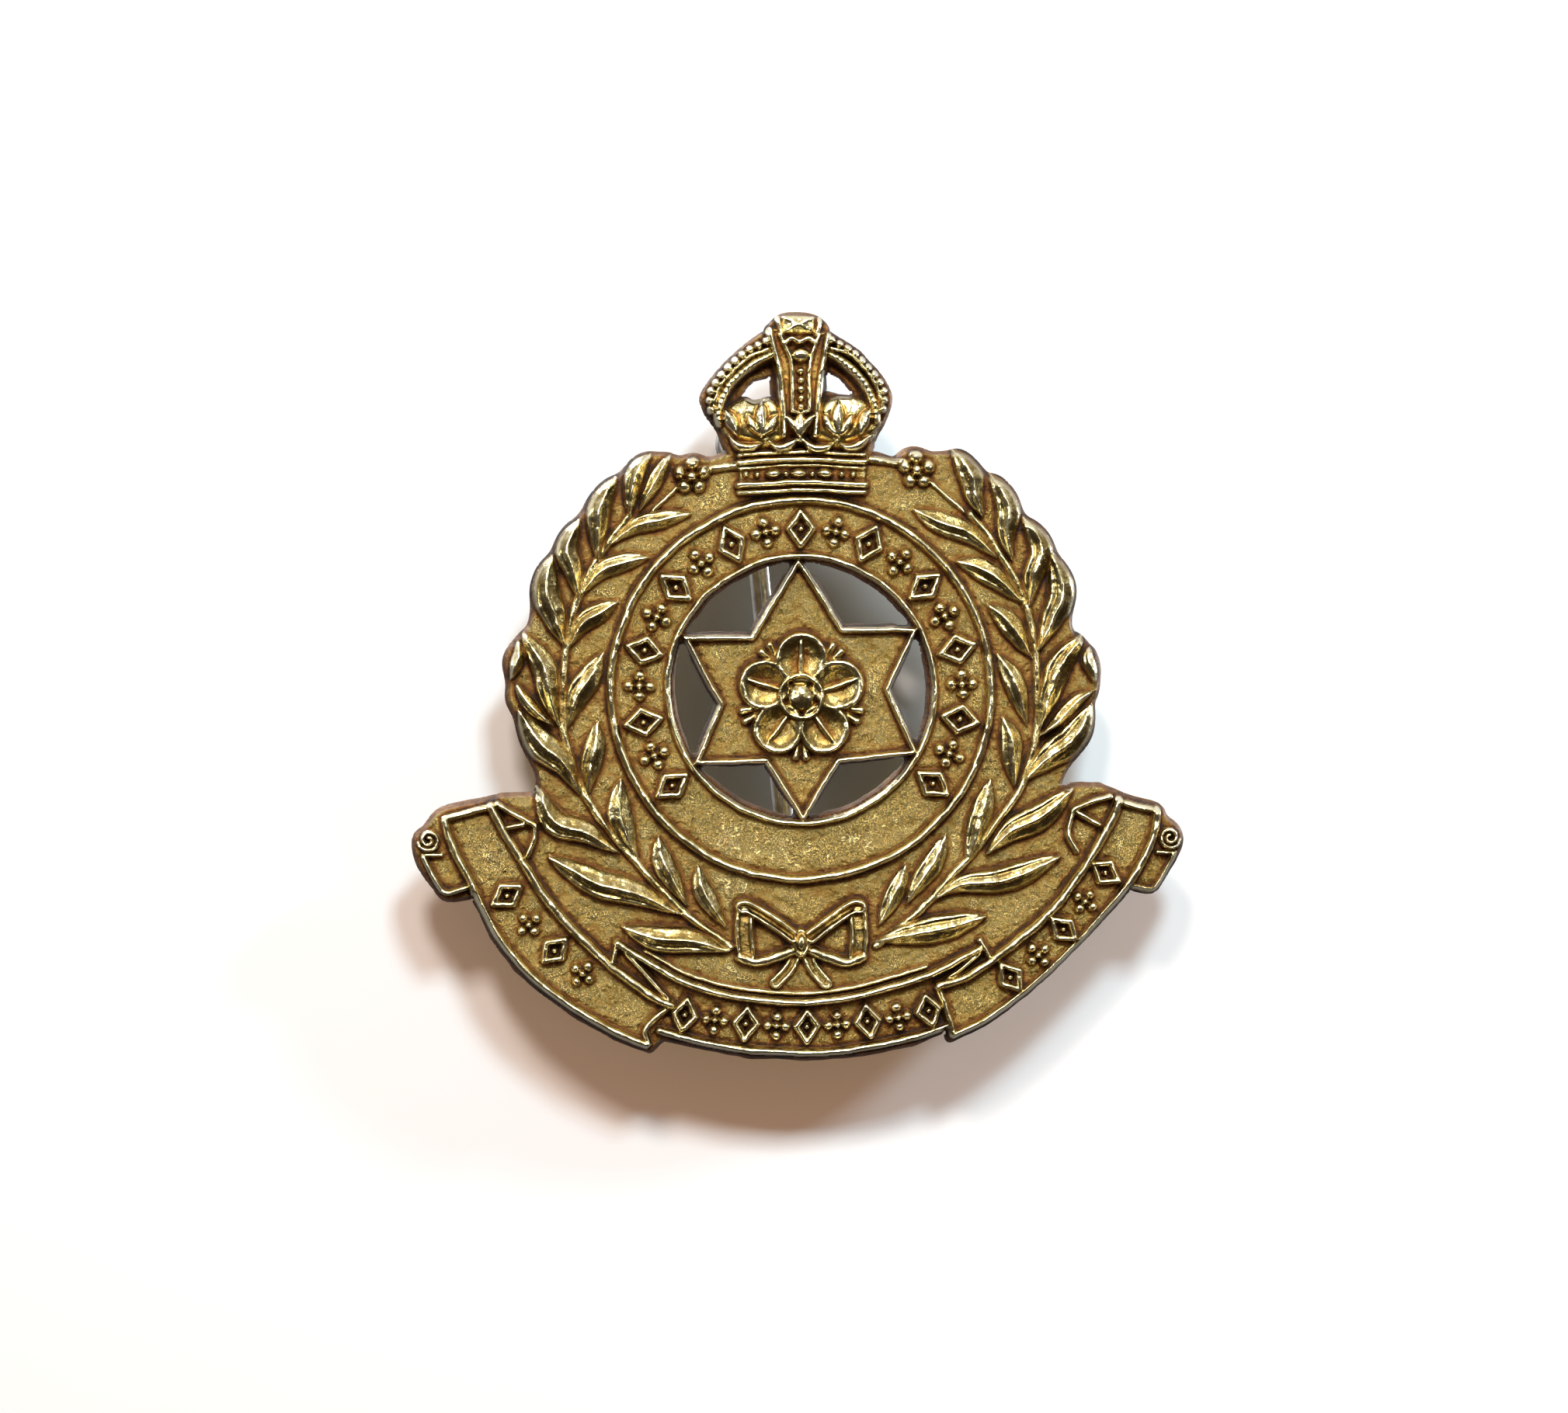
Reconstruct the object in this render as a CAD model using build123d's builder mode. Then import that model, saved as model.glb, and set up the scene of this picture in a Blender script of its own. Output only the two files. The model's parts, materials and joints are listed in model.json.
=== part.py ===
"""Cap badge: a brass casting worn upright, with two wire lugs and a split pin on its back.

Frame: +X to the right as seen from the front, +Z up towards the crown, the face towards -Y.
The casting's flat back lies in the plane y = 0, and the origin is the centre of the ring on it.
Sketches of the face are drawn on Plane.XZ, whose normal is -Y, so an offset is a height towards
the viewer. All sizes are in millimetres.
"""

import os
from math import atan2, cos, degrees, radians, sin, sqrt

from build123d import *

# Heights of the relief above the flat back
GROUND = 1.3
RING_FIELD = 1.5
SCROLL_FIELD = 1.6
INNER_LEAF = 1.8
OUTER_LEAF = 2.0
BEAD = 2.1
BOW = 2.3
CROWN_BODY = 1.8
CROWN_RIB = 2.4
PEARL_TOP = 2.7

# Ring and star
RING_OUTER = 13.3
RING_BEAD = 0.55
RING_INNER = 8.95
INNER_BEAD = 0.4
STAR_TIP = 9.0
STAR_RIM = 0.45
OPENING_GAP = 0.55
BORDER_RADIUS = 11.0
BORDER_SPAN = 252
BORDER_COUNT = 25

# Wreath
WREATH_GROUND = 18.6
CROWN_GROUND = 17.0
STEM_RADIUS = 16.4
STEM_WIDTH = 0.9

# Rosette in the middle of the star
ROSETTE_PETALS = 5
ROSETTE_RADIUS = 2.3
PETAL_RADIUS = 1.45
BOSS_RADIUS = 1.0

# Pearls along each arch of the crown
PEARL_COUNT = 7
PEARL_STEP = 12

# Lugs, their pockets and the split pin
PIN_TILT = 5.4
PIN_MIDDLE_X = -1.9
PIN_DEPTH = 4.6
LUG_HALF_PITCH = 11.5
LUG_WIRE = 1.5
LUG_HALF_WIDTH = 1.75
LUG_CENTRE = 4.5
POCKET_DEPTH = 0.5
POCKET_LENGTH = 6.2
POCKET_WIDTH = 2.8
BRAZE_RISE = 0.7
PIN_RADIUS = 0.65
PIN_HALF_GAP = 0.03
PIN_BEND = 1.2
PIN_EYE = 1.5
PIN_NECK = 14.6
PIN_TAIL = 16.6

# The pin's axis leans in the plane of the back; both lugs stand square to it
PIN_AXIS = Vector(-sin(radians(PIN_TILT)), 0, cos(radians(PIN_TILT)))
ACROSS_PIN = Vector(cos(radians(PIN_TILT)), 0, sin(radians(PIN_TILT)))
UPPER_SEAT = Plane(
    origin=Vector(PIN_MIDDLE_X, 0, 0) + PIN_AXIS * LUG_HALF_PITCH, x_dir=ACROSS_PIN, z_dir=(0, 1, 0)
)
LOWER_SEAT = Plane(
    origin=Vector(PIN_MIDDLE_X, 0, 0) - PIN_AXIS * LUG_HALF_PITCH, x_dir=ACROSS_PIN, z_dir=(0, 1, 0)
)

# Leaves of the wreath: base, tip and greatest width, from the bow up to the crown
LEFT_OUTER_LEAVES = [
    ((-5.0, -17.8), (-12.2, -16.2), 1.7),
    ((-8.4, -15.6), (-17.0, -11.8), 2.2),
    ((-12.6, -11.0), (-18.2, -6.6), 2.1),
    ((-15.2, -6.9), (-19.4, -1.2), 2.4),
    ((-16.6, -2.7), (-19.9, 1.0), 1.4),
    ((-16.4, -2.8), (-18.9, 4.2), 2.4),
    ((-18.6, 0.4), (-19.9, 3.4), 1.4),
    ((-16.0, 3.3), (-17.2, 9.4), 2.8),
    ((-15.3, 6.2), (-15.4, 12.0), 2.2),
    ((-13.6, 9.3), (-12.9, 14.8), 2.2),
    ((-11.6, 11.8), (-10.2, 16.4), 1.9),
    ((-11.1, 12.1), (-8.9, 15.9), 1.4),
]
LEFT_INNER_LEAVES = [
    ((-5.1, -16.4), (-7.1, -12.0), 1.5),
    ((-7.5, -15.2), (-9.7, -10.0), 1.5),
    ((-11.4, -11.2), (-12.6, -6.0), 1.6),
    ((-14.6, -7.4), (-13.9, -1.9), 1.6),
    ((-16.0, -3.0), (-13.6, 2.5), 1.6),
    ((-15.7, 3.3), (-12.1, 6.6), 1.4),
    ((-14.9, 6.8), (-10.5, 9.0), 1.4),
    ((-12.9, 10.3), (-7.4, 12.2), 1.3),
]
RIGHT_OUTER_LEAVES = [
    ((4.9, -17.6), (12.6, -15.7), 1.7),
    ((8.2, -15.0), (17.7, -11.7), 2.2),
    ((12.4, -11.6), (18.7, -7.0), 2.1),
    ((15.0, -7.3), (19.9, -1.3), 2.4),
    ((16.6, -3.4), (20.3, -0.2), 1.4),
    ((16.1, -3.2), (19.4, 3.8), 2.4),
    ((19.0, 0.0), (20.3, 3.0), 1.4),
    ((16.4, 2.6), (18.2, 9.0), 2.4),
    ((15.6, 5.2), (16.5, 11.5), 2.0),
    ((14.4, 8.9), (13.9, 14.8), 2.0),
    ((12.1, 11.6), (11.0, 16.9), 2.0),
    ((11.3, 12.0), (9.3, 16.8), 1.6),
]
RIGHT_INNER_LEAVES = [
    ((5.1, -16.7), (7.0, -12.3), 1.4),
    ((7.4, -14.9), (9.9, -10.2), 1.5),
    ((11.2, -12.4), (13.0, -6.4), 1.4),
    ((14.9, -7.0), (13.9, -1.9), 1.4),
    ((15.6, -2.8), (13.5, 2.3), 1.4),
    ((15.9, 2.2), (12.7, 5.9), 1.3),
    ((15.3, 5.9), (10.6, 8.7), 1.5),
    ((13.3, 9.3), (8.0, 12.0), 1.5),
]

# Flowers beside the crown
FLOWERS = [(-7.35, 14.65), (7.95, 15.0)]
FLOWER_RADIUS = 0.75
FLOWER_PETAL = 0.5


def polar(radius, angle):
    """Point at a radius and an angle in degrees."""
    return (radius * cos(radians(angle)), radius * sin(radians(angle)))


def leaf(base, tip, width):
    """Pointed blade: two equal arcs from base to tip."""
    with BuildSketch() as blade:
        with BuildLine():
            SagittaArc(base, tip, width / 2)
            SagittaArc(base, tip, -width / 2)
        make_face()
    return blade.sketch


def outline(*points):
    """Straight-sided face through the points."""
    with BuildSketch() as face:
        with BuildLine():
            Polyline(*points, close=True)
        make_face()
    return face.sketch


def bar(width, *points):
    """Strand of constant width that follows the points as a smooth curve."""
    with BuildSketch() as strand:
        with BuildLine() as middle:
            if len(points) == 2:
                Line(*points)
            else:
                Spline(*points)
        trace(middle.line, line_width=width)
    return strand.sketch


def ring_sector(radius, width, start, span):
    """Part of a flat ring of the given mean radius."""
    with BuildSketch() as sector:
        with BuildLine() as middle:
            CenterArc((0, 0), radius, start, span)
        trace(middle.line, line_width=width)
    return sector.sketch


def hexagram(radius):
    """Six-pointed star of two triangles."""
    with BuildSketch() as star:
        for turn in (90, 270):
            with Locations(Rotation(0, 0, turn)):
                RegularPolygon(radius, 3)
    return star.sketch


def crown_outline():
    """Silhouette of the crown above its base band."""
    with BuildSketch() as crown:
        with BuildLine():
            Spline((-4.7, 15.8), (-5.5, 17.4), (-6.75, 20.0), (-5.05, 22.4), (-2.5, 24.4))
            Polyline((-2.5, 24.4), (-2.3, 25.05), (-1.8, 25.07), (-1.05, 25.8), (1.0, 25.8))
            Polyline((1.0, 25.8), (1.8, 25.0), (2.2, 24.5))
            Spline((2.2, 24.5), (4.6, 22.8), (6.4, 20.1), (5.3, 17.4), (5.0, 15.8))
            Line((5.0, 15.8), (-4.7, 15.8))
        make_face()
    return crown.sketch


def left_scroll():
    """Left panel of the scroll, between its two curved edges."""
    with BuildSketch() as panel:
        with BuildLine():
            ThreePointArc((-24.7, -8.0), (-19.4, -19.7), (-10.4, -25.0))
            Line((-10.4, -25.0), (-8.8, -21.4))
            ThreePointArc((-8.8, -21.4), (-16.2, -15.4), (-21.0, -7.2))
            Line((-21.0, -7.2), (-24.7, -8.0))
        make_face()
    return panel.sketch


def right_scroll():
    """Right panel of the scroll, between its two curved edges."""
    with BuildSketch() as panel:
        with BuildLine():
            ThreePointArc((24.9, -8.1), (20.4, -17.0), (10.1, -24.5))
            Line((10.1, -24.5), (9.0, -20.3))
            ThreePointArc((9.0, -20.3), (17.3, -14.6), (21.8, -7.2))
            Line((21.8, -7.2), (24.9, -8.1))
        make_face()
    return panel.sketch


def centre_scroll():
    """Middle panel of the scroll, with its two folds running up behind the leaves."""
    with BuildSketch() as panel:
        with BuildLine():
            ThreePointArc((-12.7, -17.0), (-0.2, -21.1), (12.3, -17.0))
            Polyline((12.3, -17.0), (13.3, -18.7), (9.8, -23.6))
            ThreePointArc((9.8, -23.6), (0.3, -25.6), (-10.0, -23.8))
            Polyline((-10.0, -23.8), (-13.2, -18.7), (-12.7, -17.0))
        make_face()
    return panel.sketch


def scroll_tabs():
    """Curled ends of the scroll and the folds that join its side panels to the wreath."""
    left_end = outline((-24.6, -8.0), (-25.9, -9.0), (-26.87, -10.1), (-26.4, -11.9), (-25.3, -13.7),
                       (-24.4, -14.5), (-22.0, -14.2), (-23.0, -10.0))
    right_end = outline((24.6, -8.1), (26.0, -9.6), (26.4, -10.5), (25.5, -12.9), (24.5, -14.2),
                        (22.2, -13.6), (23.0, -10.0))
    left_fold = outline((-16.0, -7.6), (-19.2, -7.0), (-20.9, -6.9), (-18.0, -12.8), (-14.0, -12.0))
    right_fold = outline((16.5, -7.4), (18.9, -7.3), (20.75, -6.5), (22.0, -7.1), (18.4, -12.8),
                         (14.0, -12.0))
    return [left_end, right_end, left_fold, right_fold]


def scroll_ground():
    """Plain ground between the wreath and the scroll."""
    return outline((-21.5, -8.0), (-18.5, -14.5), (-13.0, -20.5), (-9.0, -22.5), (9.0, -22.0),
                   (13.5, -20.0), (19.0, -14.0), (22.5, -8.0))


def scroll_panels():
    """The three panels of the scroll."""
    return [left_scroll(), right_scroll(), centre_scroll()]


def crown_openings():
    """The two openings under the arches of the crown."""
    left = outline((-3.84, 20.2), (-3.05, 21.15), (-2.1, 21.37), (-1.98, 20.26), (-3.16, 19.95))
    right = outline((1.92, 21.4), (2.1, 21.6), (3.16, 20.95), (3.7, 20.37), (2.74, 20.26), (1.95, 20.5))
    return [left, right]


# ---------------------------------------------------------------- badge_casting
with BuildPart() as badge_casting:
    # Ground plate with the full silhouette
    with BuildSketch(Plane.XZ):
        Circle(WREATH_GROUND)
        with Locations((0, 14.6)):
            Rectangle(50, 10, align=(Align.CENTER, Align.MIN), mode=Mode.SUBTRACT)
        Circle(CROWN_GROUND)
        for blade in LEFT_OUTER_LEAVES + RIGHT_OUTER_LEAVES:
            add(leaf(*blade))
        add(crown_outline())
        add(scroll_ground())
        for panel in scroll_panels() + scroll_tabs():
            add(panel)
    extrude(amount=GROUND)

    # Wreath
    with BuildSketch(Plane.XZ):
        for blade in LEFT_INNER_LEAVES + RIGHT_INNER_LEAVES:
            add(leaf(*blade))
    extrude(amount=INNER_LEAF)
    with BuildSketch(Plane.XZ):
        for blade in LEFT_OUTER_LEAVES + RIGHT_OUTER_LEAVES:
            add(leaf(*blade))
        add(ring_sector(STEM_RADIUS, STEM_WIDTH, -65, 115))
        add(ring_sector(STEM_RADIUS, STEM_WIDTH, 130, 115))
    extrude(amount=OUTER_LEAF)

    # Ring, star and the six openings between them
    with BuildSketch(Plane.XZ):
        Circle(RING_OUTER)
    extrude(amount=RING_FIELD)
    with BuildSketch(Plane.XZ):
        Circle(RING_OUTER)
        Circle(RING_OUTER - RING_BEAD, mode=Mode.SUBTRACT)
        Circle(RING_INNER + INNER_BEAD)
        Circle(RING_INNER, mode=Mode.SUBTRACT)
        add(hexagram(STAR_TIP))
        add(hexagram(STAR_TIP - 2 * STAR_RIM), mode=Mode.SUBTRACT)
    extrude(amount=BEAD)
    with BuildSketch(Plane.XZ):
        Circle(RING_INNER)
        add(hexagram(STAR_TIP + OPENING_GAP), mode=Mode.SUBTRACT)
    extrude(amount=BEAD, mode=Mode.SUBTRACT)

    # Sunk field of the star, and the rosette that stands in it
    with BuildSketch(Plane.XZ.offset(GROUND)):
        add(hexagram(STAR_TIP - 2 * STAR_RIM))
    extrude(amount=BEAD, mode=Mode.SUBTRACT)
    with BuildSketch(Plane.XZ):
        with PolarLocations(ROSETTE_RADIUS, ROSETTE_PETALS, start_angle=90):
            Circle(PETAL_RADIUS)
    extrude(amount=OUTER_LEAF)
    with BuildSketch(Plane.XZ):
        Circle(BOSS_RADIUS)
    extrude(amount=CROWN_RIB)

    # Ring border: lozenges and pellets by turns
    with BuildSketch(Plane.XZ):
        for count in range(BORDER_COUNT):
            angle = 90 - BORDER_SPAN / 2 + count * BORDER_SPAN / (BORDER_COUNT - 1)
            with Locations(Location(polar(BORDER_RADIUS, angle), angle)):
                if count % 2:
                    Circle(0.4)
                else:
                    add(outline((-1.1, 0), (0, -0.75), (1.1, 0), (0, 0.75)))
    extrude(amount=BEAD)

    # Scroll: fields, rims and pellet borders
    with BuildSketch(Plane.XZ):
        for panel in scroll_panels() + scroll_tabs():
            add(panel)
    extrude(amount=SCROLL_FIELD)
    with BuildSketch(Plane.XZ):
        add(bar(0.5, (-24.2, -9.0), (-19.0, -19.4), (-10.8, -24.3)))
        add(bar(0.5, (-21.0, -8.4), (-16.2, -15.6), (-9.3, -21.5)))
        add(bar(0.5, (24.3, -8.9), (20.0, -16.8), (10.6, -23.9)))
        add(bar(0.5, (21.7, -8.2), (17.3, -14.9), (9.5, -20.7)))
        add(bar(0.5, (-12.4, -17.6), (-0.2, -21.4), (12.0, -17.8)))
        add(bar(0.5, (-9.6, -23.4), (0.2, -24.95), (9.6, -23.4)))
        for x in range(-7, 8, 2):
            with Locations((x, -23.2 + 0.011 * x * x)):
                Circle(0.55)
        for angle in range(-64, -30, 8):
            with Locations(polar(23.5, angle), polar(23.5, -180 - angle)):
                Circle(0.55)
    extrude(amount=BEAD)

    # Bow over the joint of the wreath
    with BuildSketch(Plane.XZ):
        with Locations((-0.1, -17.4)):
            Ellipse(0.65, 1.0)
        for side in (-1, 1):
            add(bar(0.8, (side * 0.8, -16.5), (side * 3.4, -15.0), (side * 4.1, -15.4)))
            add(bar(1.0, (side * 3.9, -15.1), (side * 3.9, -18.3)))
            add(bar(0.8, (side * 0.8, -17.7), (side * 2.4, -18.5), (side * 4.2, -18.5)))
            add(bar(0.7, (side * 0.3, -18.2), (side * 1.7, -20.2)))
    extrude(amount=BOW)

    # Crown: base band, cushion, arches, column and top block
    with BuildSketch(Plane.XZ):
        add(crown_outline())
        add(outline((-4.3, 16.3), (-3.9, 13.4), (4.2, 13.4), (4.8, 16.3)))
    extrude(amount=CROWN_BODY)
    with BuildSketch(Plane.XZ):
        add(bar(0.5, (-4.0, 13.6), (0.1, 13.9), (4.3, 13.6)))
        add(bar(0.5, (-4.3, 15.6), (0.1, 15.9), (4.6, 15.6)))
        add(bar(0.8, (-5.5, 18.6), (-5.0, 20.6), (-3.2, 22.3), (-1.6, 23.1)))
        add(bar(0.8, (5.2, 18.7), (4.7, 20.5), (3.0, 22.4), (1.6, 23.1)))
        add(bar(2.4, (0.05, 18.8), (0.05, 24.4)))
        with Locations((0, 25.0)):
            Rectangle(2.0, 1.3)
        for x in (-1.8, -0.1, 1.7):
            with Locations((x, 14.75)):
                Ellipse(0.6, 0.3)
        for x in (-2.6, 2.6):
            with Locations((x, 18.3)):
                RegularPolygon(0.9, 4)
    extrude(amount=CROWN_RIB)
    with BuildSketch(Plane.XZ):
        for pearl in range(PEARL_COUNT):
            along, up = polar(1, pearl * PEARL_STEP)
            with Locations((-0.2 - 6.1 * along, 19.2 + 4.7 * up), (0.05 + 6.0 * along, 19.2 + 4.8 * up)):
                Circle(0.32)
        for pearl in range(6):
            with Locations((0.05, 19.3 + pearl * 0.5)):
                Circle(0.22)
        with Locations((0.05, 22.85)):
            Ellipse(0.65, 0.45)
    extrude(amount=PEARL_TOP)
    with BuildSketch(Plane.XZ):
        for opening in crown_openings():
            add(opening)
    extrude(amount=PEARL_TOP, mode=Mode.SUBTRACT)

    # Flowers
    with BuildSketch(Plane.XZ):
        for x, z in FLOWERS:
            with Locations((x, z)):
                Circle(FLOWER_PETAL)
                with PolarLocations(FLOWER_RADIUS, 5, start_angle=90):
                    Circle(FLOWER_PETAL)
    extrude(amount=BEAD)

    # Shallow pockets in the back that seat the lugs
    for lug_plane in (UPPER_SEAT, LOWER_SEAT):
        with BuildSketch(lug_plane):
            SlotOverall(POCKET_LENGTH, POCKET_WIDTH)
        extrude(amount=-POCKET_DEPTH, mode=Mode.SUBTRACT)
badge_casting.part.label = "badge_casting"


# ---------------------------------------------------------------- upper_lug, lower_lug
def wire_lug(seat):
    """Wire loop that stands on a pocket floor, with its eye along the pin."""
    upright = Plane(origin=seat.origin, x_dir=seat.x_dir, z_dir=PIN_AXIS)
    with BuildPart() as lug:
        with BuildLine(upright) as path:
            Line((-LUG_HALF_WIDTH, -POCKET_DEPTH), (-LUG_HALF_WIDTH, LUG_CENTRE))
            ThreePointArc((-LUG_HALF_WIDTH, LUG_CENTRE), (0, LUG_CENTRE + LUG_HALF_WIDTH),
                          (LUG_HALF_WIDTH, LUG_CENTRE))
            Line((LUG_HALF_WIDTH, LUG_CENTRE), (LUG_HALF_WIDTH, -POCKET_DEPTH))
        with BuildSketch(Plane(origin=path.line @ 0, z_dir=path.line % 0)):
            Circle(LUG_WIRE / 2)
        sweep()
    return lug.part


upper_lug = wire_lug(UPPER_SEAT)
upper_lug.label = "upper_lug"
lower_lug = wire_lug(LOWER_SEAT)
lower_lug.label = "lower_lug"


# ---------------------------------------------------------------- upper_lug_braze, lower_lug_braze
def lug_braze(seat, lug):
    """Braze that fills a pocket and climbs the two legs of its lug."""
    with BuildPart() as braze:
        with BuildSketch(seat):
            SlotOverall(POCKET_LENGTH, POCKET_WIDTH)
        extrude(amount=-POCKET_DEPTH)
        with BuildSketch(seat):
            with Locations((-LUG_HALF_WIDTH, 0), (LUG_HALF_WIDTH, 0)):
                Circle(LUG_WIRE / 2 + 0.5)
        extrude(amount=BRAZE_RISE, taper=25)
        add(lug, mode=Mode.SUBTRACT)
    return braze.part


upper_lug_braze = lug_braze(UPPER_SEAT, upper_lug)
upper_lug_braze.label = "upper_lug_braze"
lower_lug_braze = lug_braze(LOWER_SEAT, lower_lug)
lower_lug_braze.label = "lower_lug_braze"


# ---------------------------------------------------------------- split_pin
def half_round():
    """Section of the pin's wire in the sketch that is open: half a disc, flat towards +X."""
    Circle(PIN_RADIUS)
    Rectangle(2 * PIN_RADIUS, 2 * PIN_RADIUS, align=(Align.MIN, Align.CENTER), mode=Mode.SUBTRACT)


# The wire leaves its straight leg on a small bend and closes round the eye; both are arcs
bend_centre = PIN_HALF_GAP + PIN_BEND
eye_rise = sqrt((PIN_BEND + PIN_EYE) ** 2 - bend_centre**2)
bend_angle = degrees(atan2(eye_rise, bend_centre))
neck = Vector(PIN_MIDDLE_X, PIN_DEPTH, 0) + PIN_AXIS * PIN_NECK
eye_middle = neck + PIN_AXIS * eye_rise
leg_section = Plane(origin=neck - ACROSS_PIN * PIN_HALF_GAP, x_dir=ACROSS_PIN, z_dir=PIN_AXIS)
eye_section = Plane(origin=eye_middle + PIN_AXIS * PIN_EYE, x_dir=-PIN_AXIS, z_dir=ACROSS_PIN)
with BuildPart() as split_pin:
    with BuildSketch(leg_section):
        half_round()
    extrude(amount=-PIN_NECK - PIN_TAIL)
    with BuildSketch(leg_section):
        half_round()
    revolve(axis=Axis(neck - ACROSS_PIN * bend_centre, (0, -1, 0)), revolution_arc=bend_angle)
    with BuildSketch(eye_section):
        half_round()
    revolve(axis=Axis(eye_middle, (0, -1, 0)), revolution_arc=90 + bend_angle)
    mirror(about=Plane(origin=neck, x_dir=PIN_AXIS, z_dir=ACROSS_PIN))
split_pin.part.label = "split_pin"

os.makedirs("parts", exist_ok=True)
export_step(badge_casting.part, "parts/badge_casting.step")
export_step(upper_lug, "parts/upper_lug.step")
export_step(lower_lug, "parts/lower_lug.step")
export_step(upper_lug_braze, "parts/upper_lug_braze.step")
export_step(lower_lug_braze, "parts/lower_lug_braze.step")
export_step(split_pin.part, "parts/split_pin.step")
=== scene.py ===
"""The look of a brass cap badge: its cast relief, the metals of its fittings, paper, light and camera.

The casting is one closed mesh. Its face is a height map worked out from the badge's own shapes on a
fine grid, in millimetres, with x to the right, z up and the height measured from the flat back. The
outline and the openings have drafted walls, and the back is flat with two pockets for the lugs.
"""

import json
import math

import bpy
import numpy as np
from mathutils import Matrix, Vector, geometry


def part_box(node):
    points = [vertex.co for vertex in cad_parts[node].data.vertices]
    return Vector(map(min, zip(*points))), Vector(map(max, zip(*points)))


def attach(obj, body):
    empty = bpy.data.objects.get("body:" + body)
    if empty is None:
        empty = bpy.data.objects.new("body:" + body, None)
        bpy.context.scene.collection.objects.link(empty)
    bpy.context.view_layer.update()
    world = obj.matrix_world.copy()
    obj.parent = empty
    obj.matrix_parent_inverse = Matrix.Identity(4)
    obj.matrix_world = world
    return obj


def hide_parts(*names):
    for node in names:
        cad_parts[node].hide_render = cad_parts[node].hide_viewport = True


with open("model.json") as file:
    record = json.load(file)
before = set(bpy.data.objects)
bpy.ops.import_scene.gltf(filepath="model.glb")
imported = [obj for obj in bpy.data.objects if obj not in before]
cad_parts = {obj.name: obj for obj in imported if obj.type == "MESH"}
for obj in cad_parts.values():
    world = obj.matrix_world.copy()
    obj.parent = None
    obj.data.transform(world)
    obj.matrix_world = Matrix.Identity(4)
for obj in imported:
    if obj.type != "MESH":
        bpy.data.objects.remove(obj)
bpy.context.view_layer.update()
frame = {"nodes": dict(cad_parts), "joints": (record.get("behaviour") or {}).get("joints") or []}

MM = 0.001
STEP = 0.085

# Heights above the back, in millimetres
GROUND = 1.25
RING_FIELD = 1.4
STAR_FIELD = 1.25
SCROLL_FIELD = 1.4
WALL_FOOT = 0.12
TALLEST = 2.75

# Walls: their rise per millimetre outside and in the ring's openings, and how far their feet stand out
WALL_SLOPE = 3.2
STEEP_SLOPE = 6.0
DRAFT = 0.4

# Ring and openings
RING_RADIUS = 13.0
RING_BEAD = 0.32
INNER_RADIUS = 9.18
INNER_BEAD = 0.25
OPENING_RADIUS = 8.62
OPENING_CORNER = 0.8
STAR_MARGIN = 0.3
BORDER_RADIUS = 11.05
BORDER_SPAN = 126.0
BORDER_COUNT = 21

# The star's corners, tip and notch by turns, clockwise from the top. It was cut by hand.
STAR = [(-0.1, 8.95), (2.8, 4.2), (7.95, 4.15), (6.0, -0.1), (8.0, -4.45), (2.6, -5.0),
        (0.05, -9.1), (-2.45, -5.0), (-7.4, -5.05), (-5.6, -0.95), (-8.0, 3.66), (-3.36, 3.73)]

# Leaves, the left ones first: width, then the spine from base to tip
OUTER_LEAVES = [
    (2.0, [(-5.0, -17.9), (-7.6, -17.2), (-9.9, -17.0), (-12.3, -16.2)]),
    (2.1, [(-8.3, -15.4), (-11.0, -14.0), (-14.0, -13.2), (-17.3, -11.4)]),
    (1.9, [(-12.5, -11.1), (-14.6, -9.7), (-16.9, -8.9), (-18.2, -6.6)]),
    (2.3, [(-15.3, -7.0), (-16.2, -5.0), (-17.8, -3.6), (-19.3, -1.3)]),
    (1.0, [(-16.8, -2.4), (-18.0, -1.4), (-18.9, -0.4), (-19.5, 0.6)]),
    (1.0, [(-19.9, 0.8), (-19.5, 1.8), (-19.2, 2.6), (-19.3, 3.4)]),
    (1.9, [(-16.4, -2.6), (-17.1, -0.4), (-17.5, 1.6), (-18.9, 3.9)]),
    (2.1, [(-16.1, 3.0), (-16.8, 5.0), (-17.4, 7.0), (-17.0, 9.2)]),
    (1.7, [(-15.2, 6.2), (-15.5, 8.2), (-15.9, 9.8), (-15.1, 11.7)]),
    (1.7, [(-13.8, 8.9), (-13.8, 10.8), (-13.6, 12.7), (-12.6, 14.6)]),
    (1.5, [(-11.7, 11.9), (-11.5, 13.6), (-11.1, 15.0), (-10.2, 16.2)]),
    (1.2, [(-11.0, 12.3), (-10.2, 13.8), (-9.5, 15.0), (-8.9, 16.1)]),
    (2.0, [(5.0, -17.3), (7.6, -16.8), (10.0, -16.4), (12.6, -15.7)]),
    (2.0, [(9.2, -14.4), (11.0, -13.5), (14.2, -13.1), (17.7, -11.6)]),
    (2.0, [(12.6, -11.4), (14.3, -9.9), (16.4, -8.8), (18.6, -7.0)]),
    (2.3, [(15.2, -6.4), (16.8, -4.9), (18.7, -3.4), (20.0, -1.2)]),
    (1.1, [(16.4, -3.3), (17.8, -2.2), (18.9, -0.9), (20.0, -0.2)]),
    (1.0, [(20.2, 0.3), (20.0, 1.2), (19.7, 2.0), (19.9, 2.8)]),
    (1.9, [(16.3, -3.0), (17.0, -0.8), (17.7, 1.4), (19.4, 3.6)]),
    (2.0, [(16.3, 2.6), (17.2, 4.6), (18.0, 6.6), (17.3, 9.3)]),
    (1.8, [(15.7, 5.4), (16.0, 7.5), (16.6, 9.5), (15.4, 11.7)]),
    (1.8, [(14.6, 8.8), (14.2, 10.5), (14.3, 12.5), (13.1, 14.7)]),
    (1.8, [(12.6, 11.7), (12.0, 13.2), (11.7, 14.6), (10.5, 16.4)]),
]
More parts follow.
